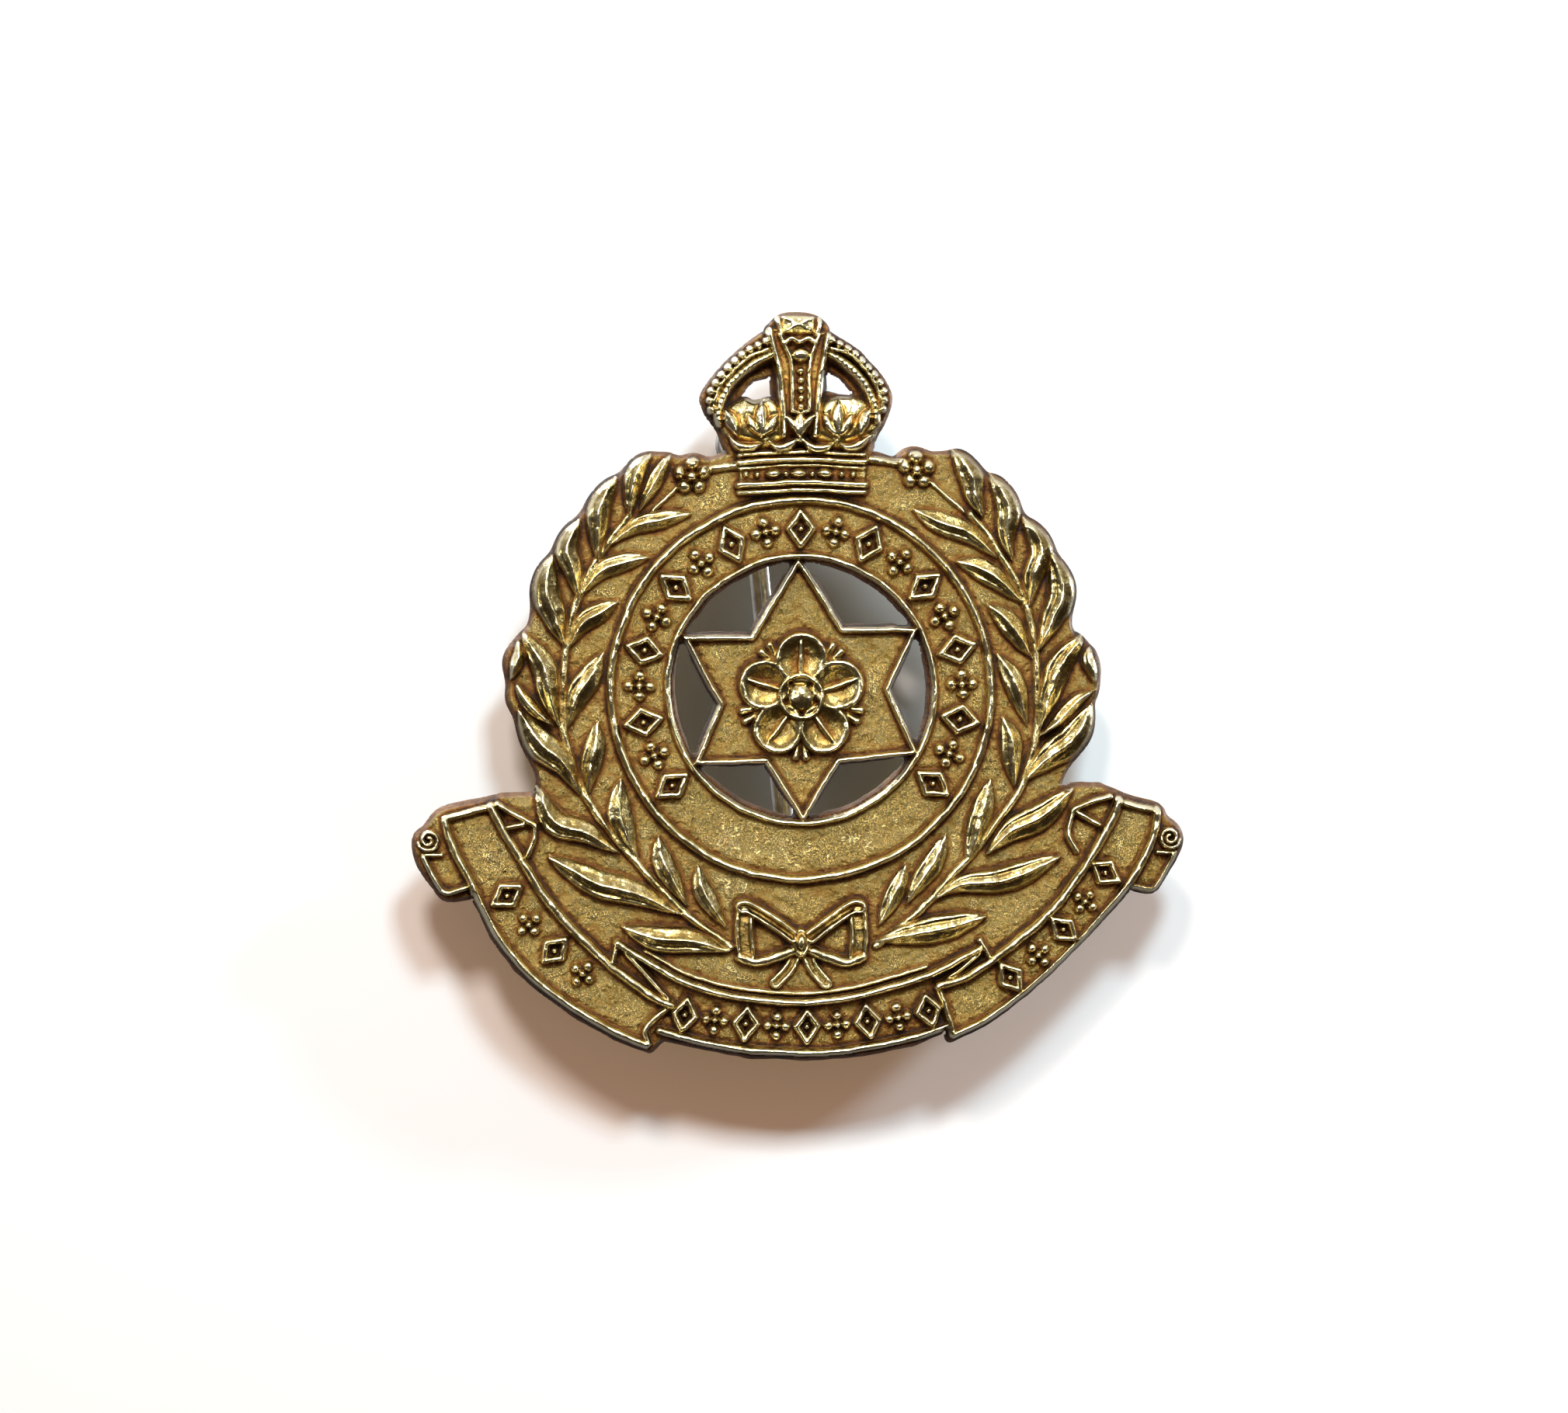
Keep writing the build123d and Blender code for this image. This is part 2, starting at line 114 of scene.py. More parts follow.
INNER_LEAVES = [
    (1.5, [(-5.2, -16.4), (-6.2, -14.8), (-6.9, -13.4), (-7.1, -12.0)]),
    (1.6, [(-7.9, -14.8), (-8.9, -13.0), (-9.6, -11.5), (-9.8, -10.0)]),
    (1.9, [(-11.2, -11.6), (-12.0, -9.8), (-12.5, -8.0), (-12.4, -6.1)]),
    (1.7, [(-14.7, -7.2), (-14.5, -5.4), (-14.1, -3.8), (-13.9, -2.1)]),
    (1.9, [(-16.0, -2.6), (-15.3, -0.5), (-14.3, 1.0), (-13.5, 2.5)]),
    (1.6, [(-15.8, 3.0), (-14.9, 4.6), (-13.8, 5.3), (-12.5, 6.1)]),
    (1.5, [(-15.0, 6.6), (-13.6, 8.2), (-12.2, 8.7), (-10.3, 9.1)]),
    (1.4, [(-13.0, 10.0), (-11.3, 11.2), (-9.5, 11.6), (-7.5, 12.1)]),
    (1.5, [(5.2, -16.3), (6.2, -14.5), (6.8, -13.2), (7.1, -12.1)]),
    (1.7, [(7.2, -14.9), (8.2, -13.2), (9.2, -11.8), (9.9, -10.1)]),
    (1.8, [(11.3, -12.2), (12.0, -10.0), (12.5, -8.2), (12.9, -6.3)]),
    (1.7, [(14.6, -6.8), (14.5, -4.8), (14.4, -3.4), (13.8, -2.0)]),
    (1.6, [(15.5, -2.6), (15.0, -0.6), (14.4, 1.0), (13.5, 2.3)]),
    (1.7, [(15.8, 2.1), (14.9, 3.7), (14.0, 4.8), (12.9, 5.7)]),
    (1.7, [(15.3, 5.8), (13.6, 7.5), (12.2, 8.3), (10.7, 8.7)]),
    (1.7, [(13.5, 9.0), (11.6, 10.6), (9.6, 11.4), (7.7, 12.3)]),
]
STEM = [(5.0, -17.6), (8.0, -15.4), (12.0, -11.0), (14.9, -7.1), (16.2, -3.0), (16.2, 0.5),
        (16.0, 3.3), (15.2, 6.5), (13.5, 9.6), (11.7, 11.9)]
FLOWERS = [(-7.35, 14.65), (7.95, 15.0)]
FLOWER_RADIUS = 1.25
# The wreath's outline bulges round the two buds: middle and radius
BULGES = [(-19.05, 1.95, 1.05), (-19.0, -0.4, 0.95), (19.2, 1.7, 0.95), (19.2, 0.0, 1.0)]

# The wreath's ground: its radius beside the crown and elsewhere, the angles from the top between which
# it grows, how far its edge lies inside the leaves' own and how much it is softened
GROUND_AT_CROWN = 16.7
GROUND_RADIUS = 18.85
GROUND_TURN = (23.0, 33.0)
LEAF_INSET = 0.25
OUTLINE_SOFT = 0.3

# Outline of the crown and the scroll at the front edge. The crown's ground lies a little lower.
CROWN_SINK = 0.3
CROWN_EDGE = [(-4.5, 15.6), (-5.0, 16.9), (-5.4, 18.0), (-6.25, 19.5), (-6.3, 20.3), (-5.4, 21.6),
              (-4.1, 22.9), (-2.9, 23.8), (-2.1, 24.3), (-1.85, 24.75), (-0.95, 25.4), (0.9, 25.4),
              (1.65, 24.8), (1.9, 24.3), (2.75, 23.7), (4.3, 22.6), (5.5, 21.3), (6.05, 20.1),
              (5.9, 19.1), (5.3, 17.8), (4.75, 16.9), (4.7, 15.6)]
LEFT_END = [(-20.5, -7.35), (-22.5, -7.8), (-24.6, -8.3), (-25.6, -9.3), (-26.4, -10.2),
            (-26.0, -11.9), (-25.0, -13.4), (-24.3, -14.1), (-22.4, -13.9)]
RIGHT_END = [(20.6, -6.95), (22.3, -7.7), (24.5, -8.4), (25.0, -9.1), (26.0, -10.2), (25.7, -11.6),
             (24.9, -12.9), (24.2, -13.9), (22.6, -13.6)]
SCROLL_FOOT = [(20.6, -15.9), (18.1, -18.5), (15.4, -20.9), (12.5, -23.1), (10.2, -24.1),
               (10.0, -23.3), (7.5, -24.4), (4.0, -25.1), (0.3, -25.3), (-4.0, -25.05),
               (-9.6, -23.8), (-10.5, -24.65), (-12.9, -23.7), (-15.3, -22.4), (-17.4, -20.8),
               (-19.5, -19.0), (-21.0, -16.9)]

# Back: the lugs' pockets and the pitch of the points on the flat sheet
POCKET_DEPTH = 0.5
POCKET_LENGTH = 6.2
POCKET_WIDTH = 2.8
BACK_PITCH = 1.1

# Relief: how much its edges are brought out and at most by how much, in millimetres
CRISPNESS = 0.55
CRISP_LIMIT = 0.22

# Cast skin, in millimetres: the strength of each kind everywhere and what plain fields add to it. The
# dents are on raised parts only.
SWELLS = (0.04, 0.045)
GRAIN = (0.018, 0.030)
PITS = (0.04, 0.04)
DENTS = 0.07

# Patina and painted light: the tone of level metal, what each millimetre above the near and the wider
# surroundings adds (paler worn edges with painted highlight, darker dirt with painted shade in hollows),
# the painted shade that the foot of the walls loses, what the crown gains, and the back's tone and share
# of plain field
LEVEL_TONE = 0.5
NEAR_TONE = 0.95
WIDE_TONE = 0.32
FOOT_SHADE = 0.28
CROWN_TONE = 0.06
BACK_TONE = 0.52
BACK_PLAIN = 0.2

# Room that metal sees before and behind the badge: the slopes of view that its colours lie between and
# the colours from below to above. The camera sees the backdrop.
FRONT_SPAN = (-0.6, 0.9)
FRONT_ROOM = ((0.0, (0.05, 0.04, 0.03)), (0.4, (0.12, 0.10, 0.09)), (0.65, (0.42, 0.385, 0.35)),
              (1.0, (1.1, 1.07, 1.04)))
BACK_SPAN = (-0.8, 0.8)
BACK_ROOM = ((0.0, (0.12, 0.11, 0.10)), (0.45, (0.30, 0.29, 0.28)), (0.6, (0.75, 0.74, 0.72)),
             (1.0, (1.0, 0.99, 0.97)))
BACKDROP = (0.94, 0.94, 0.94)

# Paper: half its side, its gap from the lugs, its colour and the warm light that the room throws on it
PAPER_HALF = 150 * MM
PAPER_GAP = 0.02 * MM
PAPER_COLOUR = (0.88, 0.93, 0.97)
PAPER_LIGHT = (0.40, 0.215, 0.13)

# Lamps: all stand at one distance. The windows have a name, direction, power and colour, and metal may
# or may not see them. The glints are seen by metal only.
LAMP_DISTANCE = 350 * MM
WINDOW_SIZE = 50 * MM
WINDOWS = [("window_cool", (0.16, -1.0, 0.70), 0.85, (0.75, 0.93, 1.0), True),
           ("window_warm", (-0.17, -1.0, 0.72), 0.76, (1.0, 0.86, 0.76), True),
           ("window_side", (1.6, -1.0, 1.0), 0.55, (0.85, 0.95, 1.0), False)]
GLINT_SIZE = 35 * MM
GLINT_COLOUR = (0.86, 0.97, 1.0)
GLINTS = [("glint_window", (0.16, -1.0, 0.70), 0.45), ("glint_left", (-1.0, -1.0, 0.45), 0.50),
          ("glint_right", (1.0, -1.0, 0.25), 0.14), ("glint_top", (-0.2, -1.0, 1.5), 0.14),
          ("glint_back", (-0.5, 1.0, 0.7), 0.45), ("glint_back_low", (0.8, 1.0, 0.1), 0.25)]

# Plate that shades the openings: its radius, the angles it spans and its gap from the back
FLAG_RADIUS = 9.5 * MM
FLAG_SPAN = (72.0, 360.0)
FLAG_GAP = 0.15 * MM

# Camera: the middle and width of its picture, its distance, its degrees left of and above the badge's
# normal, and its roll
AIM = Vector((-1.18, -1.5, -1.15)) * MM
FIELD_WIDTH = 107.4 * MM
CAMERA_DISTANCE = 300 * MM
CAMERA_LEFT = 2.0
CAMERA_UP = 2.0
CAMERA_ROLL = 0.35


# ---------------------------------------------------------------- drawing on the height map
xs = np.arange(-27.6, 27.4, STEP)
zs = np.arange(-26.4, 26.6, STEP)
X, Z = np.meshgrid(xs, zs, indexing="ij")
EVERYWHERE = np.s_[:, :]


def noise(scale, seed):
    """Smooth noise between -1 and 1 whose lumps are about scale millimetres wide."""
    rng = np.random.default_rng(seed)
    c, s = math.cos(seed), math.sin(seed)
    u = (X * c + Z * s + 40.0) / scale
    v = (Z * c - X * s + 40.0) / scale
    lattice = rng.uniform(-1.0, 1.0, (int(80 / scale) + 3, int(80 / scale) + 3))
    i, j = np.floor(u).astype(int), np.floor(v).astype(int)
    fu, fv = u - i, v - j
    fu, fv = fu * fu * (3 - 2 * fu), fv * fv * (3 - 2 * fv)
    low = lattice[i, j] * (1 - fu) + lattice[i + 1, j] * fu
    high = lattice[i, j + 1] * (1 - fu) + lattice[i + 1, j + 1] * fu
    return low * (1 - fv) + high * fv


# Hand-cut lines are never quite true: every shape is drawn through a slight warp
WX = X + 0.07 * noise(2.6, 11) + 0.03 * noise(0.8, 12)
WZ = Z + 0.07 * noise(2.6, 13) + 0.03 * noise(0.8, 14)
RHO = np.hypot(WX, WZ)

height = np.full(X.shape, GROUND)
solid = np.full(X.shape, -9.0)


def window(points, pad):
    """Slices of the grid that hold the points with a margin."""
    p = np.asarray(points, float)
    lo, hi = p.min(0) - pad, p.max(0) + pad
    i = np.searchsorted(xs, [lo[0], hi[0]])
    j = np.searchsorted(zs, [lo[1], hi[1]])
    return np.s_[i[0]:i[1], j[0]:j[1]]


def smooth_max(a, b, k):
    m = np.clip(0.5 + 0.5 * (a - b) / k, 0, 1)
    return b + (a - b) * m + k * m * (1 - m)


def smooth_min(a, b, k):
    return -smooth_max(-a, -b, k)


def smooth_step(values, low, high):
    t = np.clip((values - low) / (high - low), 0, 1)
    return t * t * (3 - 2 * t)


def lay(part, top, blend=0.08):
    """Raises the height map to a shape's top, with a small fillet at its foot."""
    height[part] = smooth_max(height[part], top, blend)


def spread(part, deep, blend=0.0):
    """Adds a shape to the solid outline, filling the crevices where the two meet by the blend."""
    solid[part] = smooth_max(solid[part], deep, blend) if blend else np.maximum(solid[part], deep)


def curve(points, fine=7):
    """Dense polyline on a Catmull-Rom curve through the points."""
    p = np.asarray(points, float)
    p = np.vstack([2 * p[0] - p[1], p, 2 * p[-1] - p[-2]])
    t = np.linspace(0, 1, fine, endpoint=False)[:, None]
    rows = []
    for a, b, c, d in zip(p[:-3], p[1:-2], p[2:-1], p[3:]):
        rows.append(0.5 * (2 * b + (c - a) * t + (2 * a - 5 * b + 4 * c - d) * t ** 2
                           + (3 * b - a - 3 * c + d) * t ** 3))
    rows.append(p[-2][None])
    return np.vstack(rows)


def along(part, line):
    """Distance to a polyline, its sign left or right of it, and the share of its length passed."""
    x, z = WX[part], WZ[part]
    best = np.full(x.shape, 1e9)
    place = np.zeros(x.shape)
    side = np.ones(x.shape)
    run = 0.0
    for a, b in zip(line[:-1], line[1:]):
        e = b - a
        length = math.hypot(*e)
        if length < 1e-6:
            continue
        t = np.clip(((x - a[0]) * e[0] + (z - a[1]) * e[1]) / length ** 2, 0, 1)
        gap = (x - a[0] - t * e[0]) ** 2 + (z - a[1] - t * e[1]) ** 2
        closer = gap < best
        best[closer] = gap[closer]
        place[closer] = run + t[closer] * length
        side[closer] = np.sign(e[0] * (z - a[1]) - e[1] * (x - a[0]))[closer]
        run += length
    return np.sqrt(best), side, place / run, run


def inside(part, polygon):
    """Distance to a polygon's edge, positive inside it."""
    x, z = WX[part], WZ[part]
    p = np.asarray(polygon, float)
    odd = np.zeros(x.shape, bool)
    for a, b in zip(p, np.roll(p, -1, 0)):
        if a[1] == b[1]:
            continue
        crosses = (a[1] > z) != (b[1] > z)
        odd ^= crosses & (x < a[0] + (z - a[1]) * (b[0] - a[0]) / (b[1] - a[1]))
    gap = along(part, np.vstack([p, p[:1]]))[0]
    return np.where(odd, gap, -gap)


def rounded(gap, radius, level, rise):
    """Height of a half-round bead over a distance from its middle."""
    dome = np.sqrt(np.clip(1 - (gap / radius) ** 2, 0, 1))
    return level + rise * dome - 3.5 * np.maximum(gap - radius, 0)


def ridge(points, radius, level, rise, blend=0.08, beads=0.0, straight=False):
    """Raised line, beaded at the given pitch if there is one."""
    line = np.asarray(points, float) if straight else curve(points)
    part = window(line, radius + 0.6)
    gap, _, share, run = along(part, line)
    if beads:
        rise = rise * (0.9 + 0.1 * np.abs(np.sin(np.pi * share * run / beads)))
    lay(part, rounded(gap, radius, level, rise), blend)


def ribbon(points, width, level, rise):
    """Flat band with a raised edge on each side."""
    line = curve(points)
    part = window(line, width / 2 + 0.6)
    gap = along(part, line)[0]
    edge = width / 2 - 0.16
    top = level + rise * (0.62 + 0.38 * np.exp(-((gap - edge) / 0.13) ** 2))
    lay(part, top - 4.0 * np.maximum(gap - width / 2, 0), 0.05)


def around(x, z, reach, stretch=1.0):
    """Slices of the grid round a point and the distance from it, less across for a stretched shape."""
    part = window([(x, z)], reach)
    return part, np.hypot((WX[part] - x) / stretch, WZ[part] - z)


def pearl(x, z, radius, level, rise, stretch=1.0, blend=0.05):
    """Round or oval boss."""
    part, gap = around(x, z, radius * max(1.0, stretch) + 0.5, stretch)
    lay(part, rounded(gap, radius, level, rise), blend)


def pearl_row(points, pitch, radius, level, rise):
    """Pearls at an even pitch along a curve."""
    row = curve(points)
    steps = np.r_[0, np.cumsum(np.hypot(*np.diff(row, axis=0).T))]
    for place in np.linspace(0, steps[-1], int(steps[-1] / pitch) + 1):
        x = np.interp(place, steps, row[:, 0])
        z = np.interp(place, steps, row[:, 1])
        pearl(x, z, radius, level, rise, blend=0.03)


def panel(polygon, level, slope=2.5, blend=0.1):
    """Flat-topped raised area with sloping sides."""
    part = window(polygon, 0.8)
    deep = inside(part, polygon)
    lay(part, np.where(deep > 0, level, level + slope * deep), blend)
    return part, deep


def leaf(width, spine, level, rise, veined=True):
    """Pointed blade along a curved spine, with a keel and grooves that follow it, and its outline."""
    line = curve(spine, fine=5)
    part = window(line, width / 2 + 1.6)
    gap, side, share, _ = along(part, line)
    share = np.clip(share, 0.01, 0.99)
    half = width / 2 * np.sin(np.pi * share ** 1.2) ** 0.66
    across = gap / np.maximum(half, 0.05)
    blade = np.clip(1 - across ** 2.4, 0, 1) ** 0.6 + 0.16 * np.clip(across, 0, 1) * side
    if veined:
        blade += 0.14 * np.exp(-(across / 0.14) ** 2)
        blade -= (0.09 + 0.05 * side) * np.exp(-((across - 0.5) / 0.16) ** 2)
    lift = 0.55 + 0.45 * np.sin(np.pi * share ** 0.9)
    lay(part, level + rise * lift * blade - 3.5 * np.maximum(gap - half, 0), 0.04)
    spread(part, half - LEAF_INSET - gap, 0.8)


# ---------------------------------------------------------------- the casting's parts
def turned(angle, radius):
    """Point on a circle at an angle in degrees clockwise from the top."""
    return radius * math.sin(math.radians(angle)), radius * math.cos(math.radians(angle))


def ornament(x, z, turn, size, kind, level, rise):
    """One piece of border: a lozenge round a pellet, or four petals, its foot turned by an angle."""
    s, c = turned(turn, size)

    def place(points):
        return [(x + u * c + v * s, z + v * c - u * s) for u, v in points]

    if kind == "lozenge":
        corners = [(0, 1.1), (0.78, 0), (0, -1.1), (-0.78, 0), (0, 1.1)]
        ridge(place(corners), 0.27, level, rise, 0.05, straight=True)
        pearl(x, z, 0.22, level, rise * 0.8)
        return
    for petal in place([(0, 0.68), (0.62, 0), (0, -0.68), (-0.62, 0)]):
        pearl(*petal, 0.4 * size, level, rise)
    pearl(x, z, 0.26 * size, level + 0.1, rise)


def border(places, size, level, rise):
    """Lozenges and petals by turns at (x, z, turn)."""
    for k, (x, z, turn) in enumerate(places):
        ornament(x, z, turn, size, "petals" if k % 2 else "lozenge", level, rise)


def wreath():
    """Ground of the wreath, its stems, leaves, flowers and buds."""
    from_top = np.degrees(np.arctan2(np.abs(WX), WZ))
    growth = smooth_step(from_top, *GROUND_TURN)
    spread(EVERYWHERE, GROUND_AT_CROWN + (GROUND_RADIUS - GROUND_AT_CROWN) * growth - RHO)
    for x, z, radius in BULGES:
        part, gap = around(x, z, radius + 1.6)
        spread(part, radius - gap, 1.2)
    for side in (-1, 1):
        ridge([(side * x, z) for x, z in STEM], 0.3, GROUND, 0.45)
    for width, spine in INNER_LEAVES:
        leaf(width, spine, GROUND - 0.05, 0.75)
    for width, spine in OUTER_LEAVES:
        leaf(width, spine, GROUND, 0.95)
    for x, z in FLOWERS:
        inward = -1 if x > 0 else 1
        ridge([(x + inward * 0.9, z + 0.4), (x + inward * 3.2, z + 0.7)], 0.3, GROUND, 0.4)
        ridge([(x - inward * 0.9, z - 0.7), (x - inward * 3.3, z - 2.9)], 0.16, GROUND, 0.3)
        for turn in range(5):
            dx, dz = turned(turn * 72, 0.82)
            pearl(x + dx, z + dz, 0.5, GROUND, 0.8)
        pearl(x, z, 0.4, GROUND + 0.2, 0.85)
        part, gap = around(x, z, 2.4)
        spread(part, FLOWER_RADIUS - gap)
    solid[:] = soften(solid, OUTLINE_SOFT, OUTLINE_SOFT)


def ring_and_star():
    """The ring with its beads and border, the pierced star and the rosette in it."""
    outside_band = np.maximum(RHO - RING_RADIUS, INNER_RADIUS - RHO)
    level = RING_FIELD - 3.0 * np.maximum(outside_band, 0)
    height[:] = np.where(RHO < RING_RADIUS, np.maximum(level, STAR_FIELD), height)
    lay(EVERYWHERE, rounded(np.abs(RHO - RING_RADIUS), RING_BEAD, RING_FIELD - 0.05, 0.65))
    lay(EVERYWHERE, rounded(np.abs(RHO - INNER_RADIUS), INNER_BEAD, RING_FIELD - 0.1, 0.6))
    angles = np.linspace(-BORDER_SPAN, BORDER_SPAN, BORDER_COUNT)
    border([(*turned(a, BORDER_RADIUS), a) for a in angles], 1.05, RING_FIELD, 0.68)

    part = window(STAR, 1.2)
    deep = inside(part, STAR)
    lay(part, rounded(np.abs(deep - 0.12), 0.22, STAR_FIELD, 0.62), 0.05)
    opening = smooth_min(OPENING_RADIUS - RHO[part], -deep - STAR_MARGIN, OPENING_CORNER)
    solid[part] = np.minimum(solid[part], -opening - DRAFT)
    rosette(0.0, -0.5, 1.28)


def rosette(x0, z0, size):
    """Five-petalled rosette with barbs between the petals and a ringed boss."""
    for k in range(5):
        angle = k * 72
        for lean in (-1, 1):
            dx, dz = turned(angle + 36 + lean * 5, 3.25 * size)
            bx, bz = turned(angle + 36, 1.3 * size)
            ridge([(x0 + bx, z0 + bz), (x0 + dx, z0 + dz)], 0.3, STAR_FIELD, 0.55, straight=True)
        dx, dz = turned(angle, 2.05 * size)
        part, gap = around(x0 + dx, z0 + dz, 2.2 * size)
        cup = STAR_FIELD + 0.8 - 0.5 * np.clip(1 - (gap / size / 1.12) ** 2, 0, 1)
        lay(part, cup - 4.0 * np.maximum(gap / size - 1.3, 0))
        ex, ez = turned(angle, 3.2 * size)
        ridge([(x0 + dx * 0.5, z0 + dz * 0.5), (x0 + ex, z0 + ez)], 0.2, STAR_FIELD + 0.4, 0.35)
    pearl(x0, z0, 0.85 * size, STAR_FIELD + 0.3, 0.85)
    part, gap = around(x0, z0, 1.9 * size)
    lay(part, rounded(np.abs(gap - 1.12 * size), 0.24, STAR_FIELD + 0.4, 0.5), 0.05)


def volute(x, z, side):
    """Curled end of the scroll, seen edge on, and the rim of the tab below it."""
    spiral = [turned(-side * 360 * t, 0.16 + 0.36 * t) for t in np.linspace(0.0, 1.7, 26)]
    ridge(np.array(spiral) + (x, z), 0.15, GROUND, 0.6, 0.05)
    ridge([(x - side * 0.9, z - 1.0), (x + side * 0.35, z - 1.05)], 0.17, GROUND, 0.5)
    ridge([(x + side * 0.3, z - 1.2), (x - side * 0.25, z - 2.4), (x - side * 1.1, z - 3.6),
           (x - side * 2.5, z - 3.35)], 0.24, GROUND, 0.6)


def scroll():
    """Three panels, their rims and borders, the folds between them and the curled ends."""
    edge = curve(LEFT_END, fine=4).tolist() + SCROLL_FOOT[::-1] + curve(RIGHT_END, fine=4).tolist()[::-1]
    part = window(edge, 1.5)
    spread(part, inside(part, edge))

    # Side panels: the outer rim from the top, the inner rim, and both ends
    sides = (
        ([(-24.4, -8.8), (-24.0, -10.3), (-22.9, -12.6), (-22.0, -14.6), (-20.9, -16.6), (-19.2, -18.8),
          (-17.2, -20.6), (-14.0, -22.8), (-10.8, -24.3)],
         [(-21.3, -7.9), (-19.6, -10.9), (-17.6, -14.1), (-15.1, -17.0), (-12.6, -19.3), (-10.5, -20.9),
          (-9.1, -21.6)],
         [(-9.2, -21.7), (-10.2, -22.5), (-10.8, -23.3), (-10.6, -24.2)],
         [(-24.4, -8.7), (-21.4, -7.9)]),
        ([(24.4, -8.5), (24.25, -10.0), (23.3, -12.1), (21.9, -14.2), (20.3, -16.2), (18.2, -18.4),
          (15.4, -20.8), (12.6, -22.8), (10.4, -23.8)],
         [(21.8, -7.8), (21.2, -9.3), (19.4, -12.3), (17.4, -15.0), (14.6, -17.5), (11.6, -19.6),
          (9.3, -20.4)],
         [(9.3, -20.5), (9.7, -21.6), (10.1, -22.8), (10.3, -23.8)],
         [(22.0, -7.9), (24.3, -8.5)]),
    )
    for outer, inner, foot, head in sides:
        panel(outer + inner[::-1], SCROLL_FIELD)
        ridge(outer, 0.32, SCROLL_FIELD, 0.65)
        ridge(inner, 0.36, SCROLL_FIELD, 0.75)
        ridge(foot, 0.26, SCROLL_FIELD, 0.5)
        ridge(head, 0.26, SCROLL_FIELD, 0.5)

    # Middle panel
    top = [(-12.7, -17.3), (-10.8, -18.5), (-7.7, -20.2), (-4.0, -21.2), (0.0, -21.45), (4.3, -20.95),
           (8.5, -19.7), (12.2, -17.9)]
    ridge(top, 0.32, GROUND, 0.8)
    ridge([(x, z + 0.62) for x, z in top[1:-1]], 0.15, GROUND, 0.35)
    ridge([(-9.9, -23.3), (-6.0, -24.35), (-3.0, -24.8), (0.0, -24.95), (3.3, -24.8), (7.0, -24.1),
           (9.9, -23.3)], 0.3, GROUND, 0.8)

    # Folds
    for points in (
        [(-12.7, -17.3), (-13.1, -18.7)], [(-12.1, -17.9), (-10.4, -19.9), (-9.0, -21.5)],
        [(12.2, -17.3), (13.05, -18.7)], [(12.2, -18.1), (10.8, -19.3), (9.4, -20.3)],
        [(-20.9, -7.7), (-19.6, -8.4), (-18.2, -9.2)], [(-20.1, -9.3), (-19.0, -9.1)],
        [(-18.2, -9.3), (-18.3, -10.2), (-18.9, -11.3)],
        [(21.2, -7.5), (20.0, -7.8), (18.7, -8.3)], [(18.7, -8.4), (20.4, -9.4)],
        [(18.6, -8.4), (18.3, -10.0), (18.85, -11.2)],
    ):
        ridge(points, 0.24, GROUND, 0.65)

    volute(-25.55, -10.05, -1)
    volute(25.3, -10.35, 1)

    # Borders
    middle = 0.25 + 2.1 * np.arange(-4, 5)
    border([(x, -23.15 + 0.0135 * x * x, -1.55 * x) for x in middle], 0.97, GROUND, 0.7)
    for radius, first, last, count in ((24.55, -124.6, -142.0, 4), (24.4, 121.4, 144.2, 5)):
        places = [(*turned(a, radius), a + 180) for a in np.linspace(first, last, count)]
        border(places, 0.95, SCROLL_FIELD, 0.62)


def bow():
    """Ribbon bow over the place where the stems cross."""
    for side in (-1, 1):
        def place(points):
            return [(-0.1 + side * x, z) for x, z in points]
        ribbon(place([(0.35, -18.0), (0.8, -19.0), (1.75, -20.1)]), 0.85, GROUND, 0.45)
        ribbon(place([(3.85, -15.5), (3.95, -16.8), (3.8, -18.2)]), 1.25, GROUND, 0.7)
        ribbon(place([(0.6, -16.9), (1.9, -15.95), (3.5, -15.0), (4.0, -14.95)]), 0.95, GROUND, 0.85)
        ridge(place([(0.7, -17.9), (1.9, -18.35), (3.1, -18.65), (4.2, -18.3)]), 0.42, GROUND, 0.8)
    pearl(-0.15, -17.4, 1.1, GROUND, 1.05, stretch=0.68)
    part, gap = around(-0.15, -17.3, 1.5, stretch=0.5)
    height[part] -= 0.22 * np.exp(-((gap - 0.62) / 0.16) ** 2)


def circlet():
    """Leaf motifs standing on the crown's festoons, a whole one on each lobe and halves at the sides."""
    level = GROUND + 0.75
    for x0, side in ((-2.6, -1), (2.65, 1)):
        for lean in (-1, 1):
            spine = [(x0, 17.3), (x0 + lean * 0.5, 17.9), (x0 + lean * 1.0, 18.75)]
            leaf(0.75, spine, level, 0.65, veined=False)
        leaf(0.95, [(x0, 17.2), (x0, 18.4), (x0 + 0.05 * side, 19.6)], level, 0.85)
    for side, x0 in ((-1, -4.6), (1, 4.4)):
        leaf(0.9, [(x0 - side * 0.3, 17.3), (x0, 18.2), (x0 + side * 0.45, 19.1)], level, 0.75)
    for lean in (-1, 1):
        leaf(0.6, [(0.05, 17.6), (lean * 0.45, 18.2), (lean * 0.95, 18.75)], level, 0.6, veined=False)
    leaf(1.1, [(0.05, 17.2), (0.05, 18.0), (0.05, 18.9)], level, 0.75)


